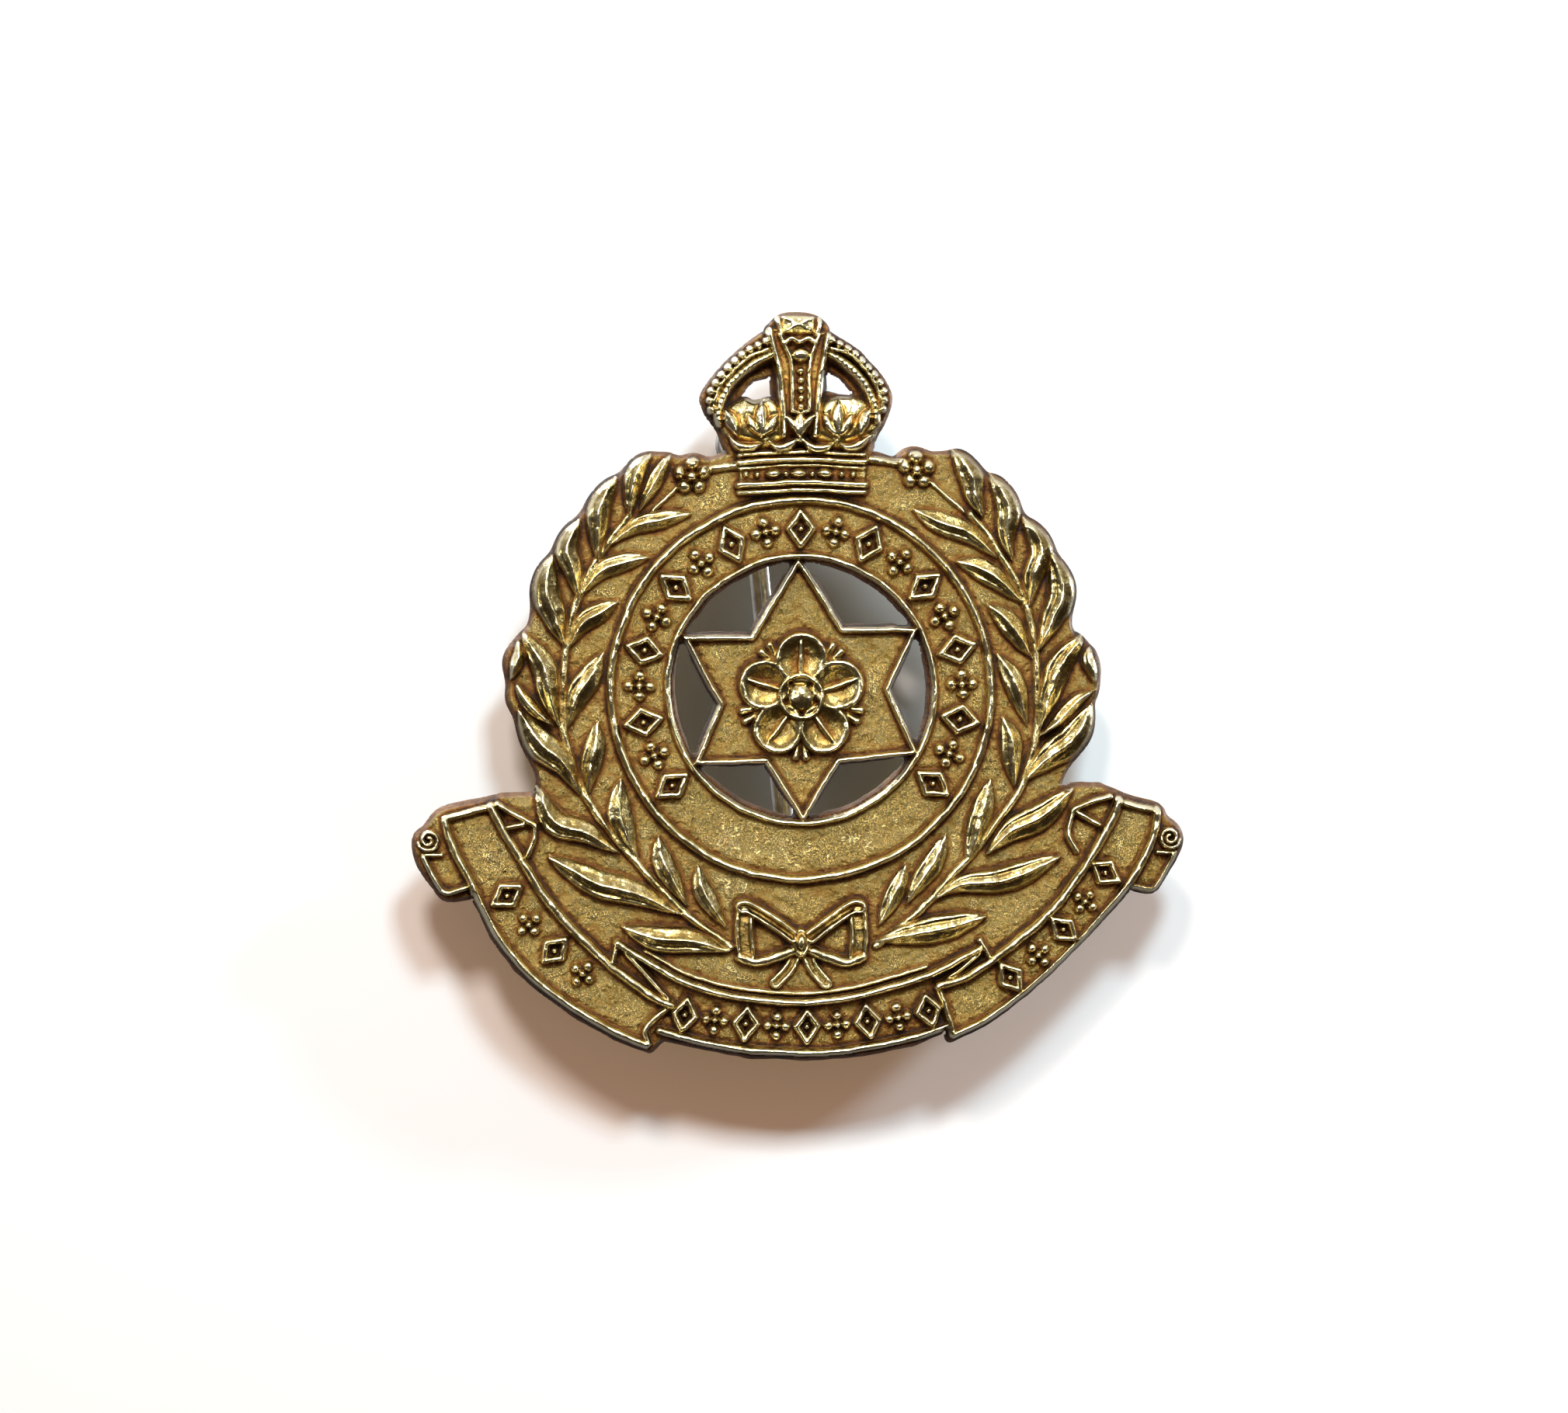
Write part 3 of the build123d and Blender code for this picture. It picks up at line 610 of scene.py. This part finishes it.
def crown():
    """Crown with a beaded column, two pearled arches, a lobed cushion and a jewelled band."""
    edge = curve(CROWN_EDGE, fine=4)
    part = window(edge, 1.5)
    deep = inside(part, edge)
    spread(part, deep)
    height[part] -= CROWN_SINK * smooth_step(deep, 0.1, 0.5) * smooth_step(WZ[part], 16.2, 17.0)

    # Cushion lobes
    for x0 in (-2.85, 3.05):
        part, gap = around(x0, 18.2, 3.4, stretch=1.4)
        lay(part, rounded(gap, 1.85, GROUND, 0.95), 0.1)
    circlet()

    # Arches: a rib, a fine line and a row of pearls on each
    arches = (
        ([(-5.45, 18.3), (-5.5, 18.9), (-5.35, 19.8), (-5.0, 20.6), (-4.3, 21.5), (-3.2, 22.3),
          (-1.9, 22.95)],
         [(-5.85, 19.2), (-5.5, 20.6), (-4.65, 21.75), (-3.5, 22.7), (-2.1, 23.3)],
         [(-5.95, 19.2), (-6.0, 20.3), (-5.3, 21.5), (-4.45, 22.4), (-3.4, 23.15), (-2.2, 23.75)]),
        ([(5.2, 18.3), (5.25, 18.9), (5.15, 19.5), (4.75, 20.5), (4.05, 21.5), (3.0, 22.35), (1.9, 22.95)],
         [(5.65, 19.2), (5.45, 20.3), (5.05, 21.2), (4.35, 22.1), (3.4, 22.85), (2.1, 23.3)],
         [(5.65, 19.1), (5.75, 20.2), (5.3, 21.3), (4.55, 22.2), (3.5, 23.05), (2.15, 23.85)]),
    )
    for rib, line, pearls in arches:
        ridge(rib, 0.36, GROUND, 1.0, beads=0.4)
        ridge(line, 0.16, GROUND, 0.85)
        pearl_row(pearls, 0.6, 0.33, GROUND - 0.05, 1.15)

    # Column: a tapered channel between two rails, with a framed row of beads
    panel([(-2.1, 24.6), (2.1, 24.3), (1.2, 19.0), (-1.1, 19.0)], GROUND + 0.45)
    for rail in ([(-2.0, 24.5), (-1.45, 21.9), (-1.1, 19.0), (-1.1, 17.4)],
                 [(1.95, 24.1), (1.5, 21.7), (1.15, 19.0), (1.1, 17.4)]):
        ridge(rail, 0.24, GROUND + 0.3, 0.85)
    for line in ([(-1.25, 24.2), (-0.75, 22.9), (-0.55, 21.9), (-0.52, 19.2)],
                 [(1.3, 24.2), (0.85, 22.9), (0.65, 21.9), (0.62, 19.2)],
                 [(-0.52, 19.1), (0.05, 18.95), (0.62, 19.1)]):
        ridge(line, 0.17, GROUND + 0.4, 0.6)
    pearl_row([(0.05, 21.75), (0.05, 19.35)], 0.5, 0.26, GROUND + 0.45, 0.65)
    pearl(0.05, 22.85, 0.5, GROUND + 0.5, 0.85, stretch=1.35)
    ridge([(-1.0, 23.65), (-0.5, 23.95), (0.05, 23.75), (0.6, 23.95), (1.1, 23.65)], 0.2, GROUND + 0.5, 0.6)

    # Top block: a low pyramid of four facets in a frame
    panel([(-1.55, 25.9), (1.5, 25.9), (1.2, 24.05), (-1.15, 24.05)], GROUND + 0.35)
    part = window([(-0.05, 24.9)], 1.6)
    square = np.maximum(np.abs(WX[part] + 0.05) / 1.0, np.abs(WZ[part] - 24.9) / 0.58)
    lay(part, GROUND + 1.15 - 0.45 * square - 2.5 * np.maximum(square - 1, 0), 0.03)
    for lean in (-1, 1):
        ridge([(lean * 1.45, 25.45), (lean * 1.1, 24.2)], 0.17, GROUND + 0.3, 0.6)

    # Festoons and base band
    for points in (
        [(-4.9, 17.35), (-4.3, 16.65), (-3.5, 16.5), (-2.6, 16.75)],
        [(-2.1, 16.9), (-1.6, 16.55), (-0.9, 16.6), (0.0, 17.2)],
        [(0.1, 17.2), (0.8, 16.55), (1.6, 16.45), (2.4, 16.85)],
        [(2.7, 16.85), (3.3, 16.5), (4.0, 16.65), (4.8, 17.25)],
    ):
        leaf(0.7, points, GROUND + 0.3, 0.95, veined=False)
    for x0 in (-2.35, 0.05, 2.55):
        pearl(x0, 17.1, 0.26, GROUND + 0.1, 0.9)
    band = [(-4.1, 16.2), (0.1, 16.5), (4.5, 16.2), (4.35, 13.5), (0.1, 13.7), (-4.0, 13.4)]
    panel(band, GROUND + 0.3)
    spread(*panel([(-4.4, 16.2), (4.8, 16.2), (4.5, 13.3), (-4.1, 13.3)], GROUND))
    for z, radius, rise in ((16.15, 0.15, 0.5), (15.65, 0.23, 0.65), (15.25, 0.12, 0.35),
                            (14.1, 0.26, 0.7), (13.6, 0.18, 0.5)):
        ridge([(-4.1, z - 0.14), (0.1, z + 0.12), (4.4, z - 0.12)], radius, GROUND + 0.25, rise)
    for x0 in (-1.8, -0.05, 1.75):
        pearl(x0, 14.8, 0.34, GROUND + 0.25, 0.95, stretch=1.7)
    for x0 in (-2.9, -0.93, 0.86, 2.85, 3.6, -3.65):
        pearl(x0, 14.75, 0.22, GROUND + 0.25, 0.75)


def crown_holes():
    """The two openings under the arches."""
    left = [(-3.84, 20.2), (-3.5, 20.8), (-3.05, 21.15), (-2.1, 21.37), (-1.98, 20.26), (-2.3, 20.1),
            (-3.16, 19.95)]
    right = [(1.92, 21.4), (2.1, 21.6), (2.74, 21.3), (3.16, 20.95), (3.7, 20.37), (3.53, 20.18),
             (2.74, 20.26), (1.95, 20.5)]
    for polygon in (left, right):
        part = window(polygon, 1.5)
        solid[part] = np.minimum(solid[part], -inside(part, polygon) - DRAFT)


def box_blur(values, radius):
    """Mean over a square patch, done as running sums."""
    for axis in (0, 1):
        pad = [(0, 0), (0, 0)]
        pad[axis] = (radius + 1, radius)
        sums = np.cumsum(np.pad(values, pad, mode="edge"), axis=axis)
        n = values.shape[axis]
        values = (np.take(sums, range(2 * radius + 1, n + 2 * radius + 1), axis)
                  - np.take(sums, range(n), axis)) / (2 * radius + 1)
    return values


def soften(values, *reaches):
    """One mean after another over patches that reach so many millimetres each way."""
    for reach in reaches:
        values = box_blur(values, max(1, int(round(reach / STEP))))
    return values


def fielded(strength):
    """A strength everywhere with its addition on plain fields."""
    return strength[0] + strength[1] * plain


wreath()
scroll()
ring_and_star()
bow()
crown()
crown_holes()

# The slopes of joined distances differ, so the outline is brought back to a true distance near it
slope_x, slope_z = np.gradient(solid, STEP)
solid /= np.clip(np.hypot(slope_x, slope_z), 0.5, 1.5)
solid += DRAFT

# Crisper relief: edges stand out and the ground sinks beside them
height += CRISPNESS * np.clip(height - soften(height, 0.25, 0.2), -CRISP_LIMIT, CRISP_LIMIT)

# Cast skin: low swells, fine grain and pits, strongest on the plain fields, and dents on what stands up
plain = np.exp(-(np.maximum(height - GROUND - 0.15, 0) / 0.3) ** 2)
swell = 0.4 * noise(0.9, 30) + 0.35 * noise(1.5, 24) + 0.25 * noise(3.5, 25)
grain = 0.4 * noise(0.62, 22) + 0.3 * noise(0.34, 21) + 0.3 * noise(0.2, 23)
pits = np.maximum(noise(0.42, 26) - 0.55, 0) + np.maximum(noise(0.27, 27) - 0.6, 0)
dents = noise(0.9, 28) + 0.6 * noise(0.45, 29)
height += fielded(SWELLS) * swell + fielded(GRAIN) * grain - fielded(PITS) * pits
height += DENTS * (1 - plain) * dents

# Drafted walls all round, steepest in the ring's openings and steeper round the crown
steep = np.maximum(smooth_step(-RHO, -INNER_RADIUS - 1.0, -INNER_RADIUS), 0.5 * smooth_step(Z, 17.0, 19.0))
wall = WALL_FOOT + (WALL_SLOPE + (STEEP_SLOPE - WALL_SLOPE) * steep) * np.maximum(solid, 0)
relief = height.copy()
height = smooth_min(height, wall, 0.2)
height = np.clip(smooth_min(height, TALLEST, 0.4), WALL_FOOT, None)

# Patina and painted light: how proud each place stands of its surroundings, worn edges paler with
# painted highlight and dirty hollows darker with painted shade; painted shade down the walls; brighter
# towards the top, over the crown
near = relief - soften(relief, 0.2, 0.15)
wide = relief - soften(relief, 0.7, 0.5)
# Painted shade on the low metal down the walls and at their foot
painted_wall_shade = smooth_step(-height, -1.4, -0.7)
# Brighter towards the top, over the crown
higher_up = smooth_step(Z, 14.5, 17.5)
patina_and_painted_light = LEVEL_TONE + NEAR_TONE * near + WIDE_TONE * wide - FOOT_SHADE * painted_wall_shade + CROWN_TONE * higher_up
patina_and_painted_light = np.clip(patina_and_painted_light, 0, 1)


# ---------------------------------------------------------------- mesh of the casting
def put(name, data):
    """New object in the scene."""
    o = bpy.data.objects.new(name, data)
    bpy.context.scene.collection.objects.link(o)
    return o


def slot_outline(name):
    """Outline of a lug's pocket, a slot across the pin, round the middle of its braze."""
    low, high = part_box(name)
    middle = (np.array(low) + np.array(high))[[0, 2]] / 2 / MM
    pin = np.array(frame["joints"][0]["axis"])[[0, 2]]
    across = np.array([pin[1], -pin[0]])
    radius = POCKET_WIDTH / 2
    straight = POCKET_LENGTH / 2 - radius
    points = []
    for end in (1, -1):
        for turn in np.linspace(-90, 90, 15):
            v, u = turned(turn, radius)
            points.append(middle + end * (straight + u) * across + end * v * pin)
    return np.array(points)


def cell_corners(grid):
    """The grid's values at each cell's four corners, in turn."""
    return grid[:-1, :-1], grid[1:, :-1], grid[1:, 1:], grid[:-1, 1:]


def face_grid():
    """Grid of the face trimmed to the outline: points, quads and the grid places used."""
    px, pz = X.copy(), Z.copy()
    gx, gz = np.gradient(solid, STEP)
    size = gx ** 2 + gz ** 2 + 1e-9
    close = np.abs(solid) < 0.62 * STEP
    px[close] -= (solid * gx / size)[close]
    pz[close] -= (solid * gz / size)[close]
    keep = (solid > 0) | close
    cells = np.all(cell_corners(keep), axis=0) & ~np.all(cell_corners(close), axis=0)
    quads = np.stack(cell_corners(np.arange(X.size).reshape(X.shape)), -1)[cells]
    used = np.unique(quads)
    renumber = np.full(X.size, -1)
    renumber[used] = np.arange(used.size)
    tall = np.where(close, WALL_FOOT, height)
    points = np.stack([px.ravel()[used], -tall.ravel()[used], pz.ravel()[used]], -1)
    return points, renumber[quads], used


def boundary(quads):
    """Edges used by one quad only, in that quad's direction."""
    edges = np.concatenate([quads[:, [k, (k + 1) % 4]] for k in range(4)])
    _, first, count = np.unique(np.sort(edges, 1), axis=0, return_index=True, return_counts=True)
    return edges[first[count == 1]]


def kept_faces(faces, edges, edge_sources):
    """Triangles an odd number of outlines deep: inside the casting, but not in its openings or pockets."""
    fences = {frozenset(e) for e, source in zip(edges, edge_sources) if source}
    sides = [[frozenset((f[m], f[(m + 1) % 3])) for m in range(3)] for f in faces]
    owners = {}
    for k, three in enumerate(sides):
        for side in three:
            owners.setdefault(side, []).append(k)
    deep = {}
    queue = []
    for side, ks in owners.items():
        if len(ks) == 1 and ks[0] not in deep:
            deep[ks[0]] = int(side in fences)
            queue.append(ks[0])
    while queue:
        k = queue.pop()
        for side in sides[k]:
            for other in owners[side]:
                if other not in deep:
                    deep[other] = deep[k] ^ int(side in fences)
                    queue.append(other)
    return [f for k, f in enumerate(faces) if deep[k]]


def back_sheet(rim, rim_edges, slots):
    """Triangles of the flat back between the outline, the openings and the lug pockets."""
    flat = [Vector(place) for place in rim]
    joined = rim_edges.tolist()
    for points in slots:
        first = len(flat)
        flat += [Vector(place) for place in points]
        joined += [(first + k, first + (k + 1) % len(points)) for k in range(len(points))]
    for x in np.arange(-27, 27, BACK_PITCH):
        for z in np.arange(-26, 26.5, BACK_PITCH):
            i, j = int((x - xs[0]) / STEP), int((z - zs[0]) / STEP)
            away = min(np.hypot(*(points.mean(0) - (x, z))) for points in slots)
            if i < X.shape[0] and j < X.shape[1] and solid[i, j] > 0.5 and away > POCKET_LENGTH / 2 + 0.3:
                flat.append(Vector((x, z)))
    verts, edges, faces, source, edge_source, _ = geometry.delaunay_2d_cdt(flat, joined, [], 0, 1e-7)
    place_of = {old: new for new, olds in enumerate(source) for old in olds}
    return verts, kept_faces(faces, edges, edge_source), place_of


def build_face():
    """The whole casting as one closed mesh with its attributes of patina and painted light."""
    points, quads, used = face_grid()
    rim = boundary(quads)
    rim_ids = np.unique(rim)
    back_of = np.full(len(points), -1)
    back_of[rim_ids] = np.arange(len(rim_ids))
    slots = [slot_outline(n) for n in ("upper_lug_braze", "lower_lug_braze")]
    verts, faces, place_of = back_sheet(points[rim_ids][:, [0, 2]], back_of[rim], slots)
    back = np.array([(v.x, 0.0, v.y) for v in verts])
    base = len(points)
    walls = [(b, a, base + place_of[back_of[a]], base + place_of[back_of[b]]) for a, b in rim]
    backs = [tuple(base + i for i in reversed(f)) for f in faces]
    pockets = []
    floor = []
    first = len(rim_ids)
    for outline in slots:
        n = len(outline)
        start = base + len(back) + len(floor)
        floor += [(x, -POCKET_DEPTH, z) for x, z in outline]
        top = [base + place_of[first + k] for k in range(n)]
        for k in range(n):
            m = (k + 1) % n
            pockets.append((top[m], top[k], start + k, start + m))
        pockets.append(tuple(start + k for k in reversed(range(n))))
        first += n
    everything = np.vstack([points, back, np.array(floor)]) * MM
    mesh = bpy.data.meshes.new("badge_face")
    mesh.from_pydata(everything.tolist(), [], quads.tolist() + walls + backs + pockets)
    mesh.update()
    face = put("badge_face", mesh)
    for name, grid, rest in (("patina_and_painted_light", patina_and_painted_light, BACK_TONE), ("plain", plain, BACK_PLAIN)):
        values = np.full(len(everything), rest, np.float32)
        values[:base] = grid.ravel()[used]
        mesh.attributes.new(name, "FLOAT", "POINT").data.foreach_set("value", values)
    mesh.polygons.foreach_set("use_smooth", np.ones(len(mesh.polygons), bool))
    ends = np.zeros(2 * len(mesh.edges), np.int32)
    mesh.edges.foreach_get("vertices", ends)
    behind = np.abs(everything[:, 1]) < 1e-9
    sharp = mesh.attributes.new("sharp_edge", "BOOLEAN", "EDGE")
    sharp.data.foreach_set("value", behind[ends.reshape(-1, 2)].all(1))
    return face


# ---------------------------------------------------------------- materials
class Nodes:
    """Adds nodes to a tree and feeds them as they are made."""

    def __init__(self, tree):
        self.tree = tree

    def give(self, socket, value):
        """Feeds a socket from another one, or sets its number, vector or colour."""
        if isinstance(value, bpy.types.NodeSocket):
            self.tree.links.new(value, socket)
        else:
            socket.default_value = (*value, 1.0) if socket.type == "RGBA" else value

    def add(self, kind, inputs=None, **settings):
        """New node with its inputs fed, by name or number, and its settings made."""
        node = self.tree.nodes.new("ShaderNode" + kind)
        for name, value in settings.items():
            setattr(node, name, value)
        for name, value in (inputs or {}).items():
            self.give(node.inputs[name], value)
        return node

    def maths(self, operation, a, b=0.0, c=0.0, clamp=False):
        node = self.add("Math", {0: a, 1: b, 2: c}, operation=operation, use_clamp=clamp)
        return node.outputs[0]

    def ramp(self, value, stops):
        """Colour by place from stops of (place, colour or grey)."""
        node = self.add("ValToRGB", {"Fac": value})
        ramp = node.color_ramp
        while len(ramp.elements) < len(stops):
            ramp.elements.new(0.5)
        for element, (place, colour) in zip(ramp.elements, stops):
            element.position = place
            rgb = colour if isinstance(colour, tuple) else (colour,) * 3
            element.color = (*rgb, 1.0)
        return node.outputs["Color"]

    def mix(self, fraction, a, b, blend="MIX"):
        """Mix of two colours. The node's sockets 6 and 7 and its output 2 are the ones for colours."""
        node = self.add("Mix", {0: fraction}, data_type="RGBA", blend_type=blend)
        self.give(node.inputs[6], a)
        self.give(node.inputs[7], b)
        return node.outputs[2]

    def choose(self, fraction, a, b):
        """Mix of two shaders."""
        return self.add("MixShader", {0: fraction, 1: a, 2: b}).outputs[0]


class Shader(Nodes):
    """One material's nodes."""

    def __init__(self, name):
        self.material = bpy.data.materials.new(name)
        self.material.use_nodes = True
        super().__init__(self.material.node_tree)
        self.surface = self.tree.nodes["Principled BSDF"]
        metres = self.add("TexCoord").outputs["Object"]
        scaled = self.add("VectorMath", {0: metres, "Scale": 1 / MM}, operation="SCALE")
        self.mm = scaled.outputs[0]

    def noise(self, scale, detail=2.0, stretch=(1, 1, 1), rough=0.5):
        """Noise whose scale is in lumps per millimetre."""
        at = self.add("Mapping", {"Vector": self.mm, "Scale": stretch}).outputs[0]
        inputs = {"Vector": at, "Scale": scale, "Detail": detail, "Roughness": rough}
        return self.add("TexNoise", inputs).outputs["Fac"]

    def attribute(self, name):
        return self.add("Attribute", attribute_name=name).outputs["Fac"]

    def sway(self, value, amount):
        """The value minus one half, times an amount."""
        return self.maths("MULTIPLY", self.maths("SUBTRACT", value, 0.5), amount)

    def bump(self, value, distance, strength=1.0, under=None):
        """Bump whose distance is in millimetres."""
        inputs = {"Height": value, "Distance": distance * MM, "Strength": strength}
        if under is not None:
            inputs["Normal"] = under
        return self.add("Bump", inputs).outputs[0]

    def clear_where(self, first, second=0.0):
        """Makes the material transparent wherever one of the values is 1."""
        clear = self.add("BsdfTransparent").outputs[0]
        mixed = self.choose(self.maths("MAXIMUM", first, second), self.surface.outputs[0], clear)
        self.give(self.tree.nodes["Material Output"].inputs["Surface"], mixed)

    def finish(self, **inputs):
        for name, value in inputs.items():
            self.give(self.surface.inputs[name.replace("_", " ")], value)
        return self.material


def cast_brass():
    """Old cast brass: pale on worn edges with painted highlight, olive on the fields, and brown dirt
    with painted shade in the corners.
    """
    s = Shader("worn_cast_brass")
    patch = s.noise(0.28, 3.0)
    mottle = s.noise(1.4, 3.0)
    speck = s.noise(6.0, 3.0)
    tone = s.maths("ADD", s.attribute("patina_and_painted_light"), s.sway(patch, 0.3))
    tone = s.maths("ADD", tone, s.sway(mottle, 0.35))
    tone = s.maths("ADD", tone, s.sway(speck, 0.3), clamp=True)
    colour = s.ramp(tone, [(0.0, (0.03, 0.012, 0.004)), (0.25, (0.21, 0.080, 0.018)),
                           (0.40, (0.28, 0.175, 0.050)), (0.54, (0.325, 0.235, 0.095)),
                           (0.66, (0.67, 0.56, 0.32)), (0.8, (0.92, 0.80, 0.53)),
                           (1.0, (1.0, 0.94, 0.75))])
    olive = s.mix(0.8, colour, (0.90, 0.93, 0.68), "MULTIPLY")
    colour = s.mix(s.maths("MULTIPLY", s.noise(0.45), 0.7), colour, olive)
    rough = s.ramp(tone, [(0.0, 0.7), (0.35, 0.32), (0.55, 0.22), (0.9, 0.15)])
    metal = s.ramp(tone, [(0.0, 0.45), (0.3, 0.9), (0.45, 1.0)])
    grit = s.maths("MULTIPLY_ADD", s.attribute("plain"), 0.85, 0.15)
    dimples = s.maths("MULTIPLY_ADD", s.attribute("plain"), 0.6, 0.35)
    skin = s.bump(s.noise(1.5), 0.24, dimples)
    skin = s.bump(s.noise(3.6, 4.0, rough=0.75), 0.17, grit, under=skin)
    return s.finish(Base_Color=colour, Roughness=rough, Metallic=metal, Normal=skin)


def drawn_wire(name, colour, dull, rough):
    """Drawn wire with fine lines along it and some tarnish."""
    s = Shader(name)
    lines = s.noise(9.0, stretch=(1, 1, 0.06))
    stain = s.noise(0.9, 3.0)
    tone = s.maths("ADD", s.sway(lines, 0.5), stain, clamp=True)
    shade = s.ramp(tone, [(0.3, dull), (0.6, colour)])
    gloss = s.ramp(tone, [(0.3, rough + 0.2), (0.65, rough)])
    skin = s.bump(lines, 0.01, 0.5)
    return s.finish(Base_Color=shade, Roughness=gloss, Metallic=1.0, Normal=skin)


def braze_metal():
    """Braze: pale on its lumps and stained between them."""
    s = Shader("braze")
    lumps = s.noise(1.6, 3.0)
    shade = s.ramp(lumps, [(0.3, (0.16, 0.10, 0.05)), (0.5, (0.50, 0.40, 0.24)),
                           (0.7, (0.75, 0.66, 0.45))])
    gloss = s.ramp(lumps, [(0.3, 0.65), (0.7, 0.35)])
    return s.finish(Base_Color=shade, Roughness=gloss, Metallic=1.0, Normal=s.bump(lumps, 0.12, 0.7))


def dress(node, material):
    """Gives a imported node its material."""
    materials = frame["nodes"][node].data.materials
    materials.clear()
    materials.append(material)


face = build_face()
face.data.materials.append(cast_brass())
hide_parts("badge_casting")
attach(face, "badge")

lug_metal = drawn_wire("lug_wire", (0.78, 0.50, 0.27), (0.28, 0.14, 0.06), 0.34)
braze = braze_metal()
for lug in ("upper_lug", "lower_lug"):
    dress(lug, lug_metal)
    dress(lug + "_braze", braze)
dress("split_pin", drawn_wire("bright_pin_wire", (0.82, 0.80, 0.77), (0.42, 0.38, 0.34), 0.22))


# ---------------------------------------------------------------- paper, light and camera
def sheet(name, points, material):
    """Flat polygon of the staging. Metal doesn't see it."""
    mesh = bpy.data.meshes.new(name)
    mesh.from_pydata(points, [], [tuple(range(len(points)))])
    mesh.materials.append(material)
    o = put(name, mesh)
    o.visible_glossy = False
    return o


def paper():
    """White paper just behind the lugs. It is seen from the front only and throws no shadow."""
    s = Shader("paper")
    behind = s.add("NewGeometry").outputs["Backfacing"]
    s.clear_where(behind, s.add("LightPath").outputs["Is Shadow Ray"])
    y = max(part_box("upper_lug")[1][1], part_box("lower_lug")[1][1]) + PAPER_GAP
    h = PAPER_HALF
    corners = [(-h, y, -h), (h, y, -h), (h, y, h), (-h, y, h)]
    sheet("paper", corners, s.finish(Base_Color=PAPER_COLOUR, Roughness=0.9, Specular_IOR_Level=0.1))


def flag():
    """Black plate behind the openings that keeps light off the paper seen through them. It stops only
    rays on their way from the paper, so it never shows on the badge's back."""
    s = Shader("flag")
    s.clear_where(s.add("NewGeometry").outputs["Backfacing"])
    angles = np.radians(np.linspace(*FLAG_SPAN[::-1], 40))
    rim = [(FLAG_RADIUS * math.cos(a), FLAG_GAP, FLAG_RADIUS * math.sin(a)) for a in angles]
    plate = sheet("flag", rim, s.finish(Base_Color=(0.01, 0.01, 0.01)))
    plate.visible_camera = False
    plate.visible_transmission = False


def lamp(name, direction, size, power, colour, on_paper=True, on_metal=True):
    """Square area light that faces the badge from a direction. It may reach paper or metal alone."""
    light = bpy.data.lights.new(name, "AREA")
    light.size = size
    light.energy = power
    light.color = colour
    o = put(name, light)
    towards = Vector(direction).normalized()
    o.location = towards * LAMP_DISTANCE
    o.rotation_euler = (-towards).to_track_quat("-Z", "Y").to_euler()
    o.visible_camera = False
    o.visible_diffuse = on_paper
    o.visible_glossy = on_metal


def surroundings():
    """Plain and pale to the camera. Metal sees a room, dim below and bright above, in front of it and
    another behind it. Paper gets a warm light instead, and metal seen by paper finds the room dark, so
    the space under the badge stays dark."""
    world = bpy.data.worlds.new("room")
    world.use_nodes = True
    bpy.context.scene.world = world
    n = Nodes(world.node_tree)
    way = n.add("TexCoord").outputs["Generated"]
    _, y, z = n.add("SeparateXYZ", {0: way}).outputs
    ray = n.add("LightPath").outputs

    def room(span, colours):
        inputs = {"Value": z, "From Min": span[0], "From Max": span[1]}
        return n.ramp(n.add("MapRange", inputs).outputs[0], colours)

    def background(colour, strength=1.0):
        return n.add("Background", {"Color": colour, "Strength": strength}).outputs[0]

    after_paper = n.maths("GREATER_THAN", ray["Diffuse Depth"], 0.5)
    by_paper = n.maths("MULTIPLY", ray["Is Glossy Ray"], after_paper)
    strength = n.maths("SUBTRACT", 1.0, by_paper)
    front = background(n.mix(ray["Is Diffuse Ray"], room(FRONT_SPAN, FRONT_ROOM), PAPER_LIGHT), strength)
    back = background(room(BACK_SPAN, BACK_ROOM), strength)
    backwards = n.maths("MULTIPLY", n.maths("GREATER_THAN", y, 0.05), ray["Is Glossy Ray"])
    seen = n.choose(ray["Is Camera Ray"], n.choose(backwards, front, back), background(BACKDROP))
    n.give(n.tree.nodes["World Output"].inputs["Surface"], seen)


def camera():
    """Looks at the face from slightly left of and above its normal, with a slight roll."""
    data = bpy.data.cameras.new("camera")
    data.lens = data.sensor_width * CAMERA_DISTANCE / FIELD_WIDTH
    data.clip_start, data.clip_end = 0.01, 10.0
    left, up = math.radians(CAMERA_LEFT), math.radians(CAMERA_UP)
    away = Vector((-math.tan(left), -1.0, math.tan(up))).normalized()
    stand = Matrix.Translation(AIM + away * CAMERA_DISTANCE)
    look = (-away).to_track_quat("-Z", "Y").to_matrix().to_4x4()
    o = put("camera", data)
    o.matrix_world = stand @ look @ Matrix.Rotation(math.radians(-CAMERA_ROLL), 4, "Z")
    bpy.context.scene.camera = o


paper()
flag()
for name, direction, power, colour, on_metal in WINDOWS:
    lamp(name, direction, WINDOW_SIZE, power, colour, on_metal=on_metal)
for name, direction, power in GLINTS:
    lamp(name, direction, GLINT_SIZE, power, GLINT_COLOUR, on_paper=False)
surroundings()
camera()
bpy.context.scene.view_settings.view_transform = "Standard"
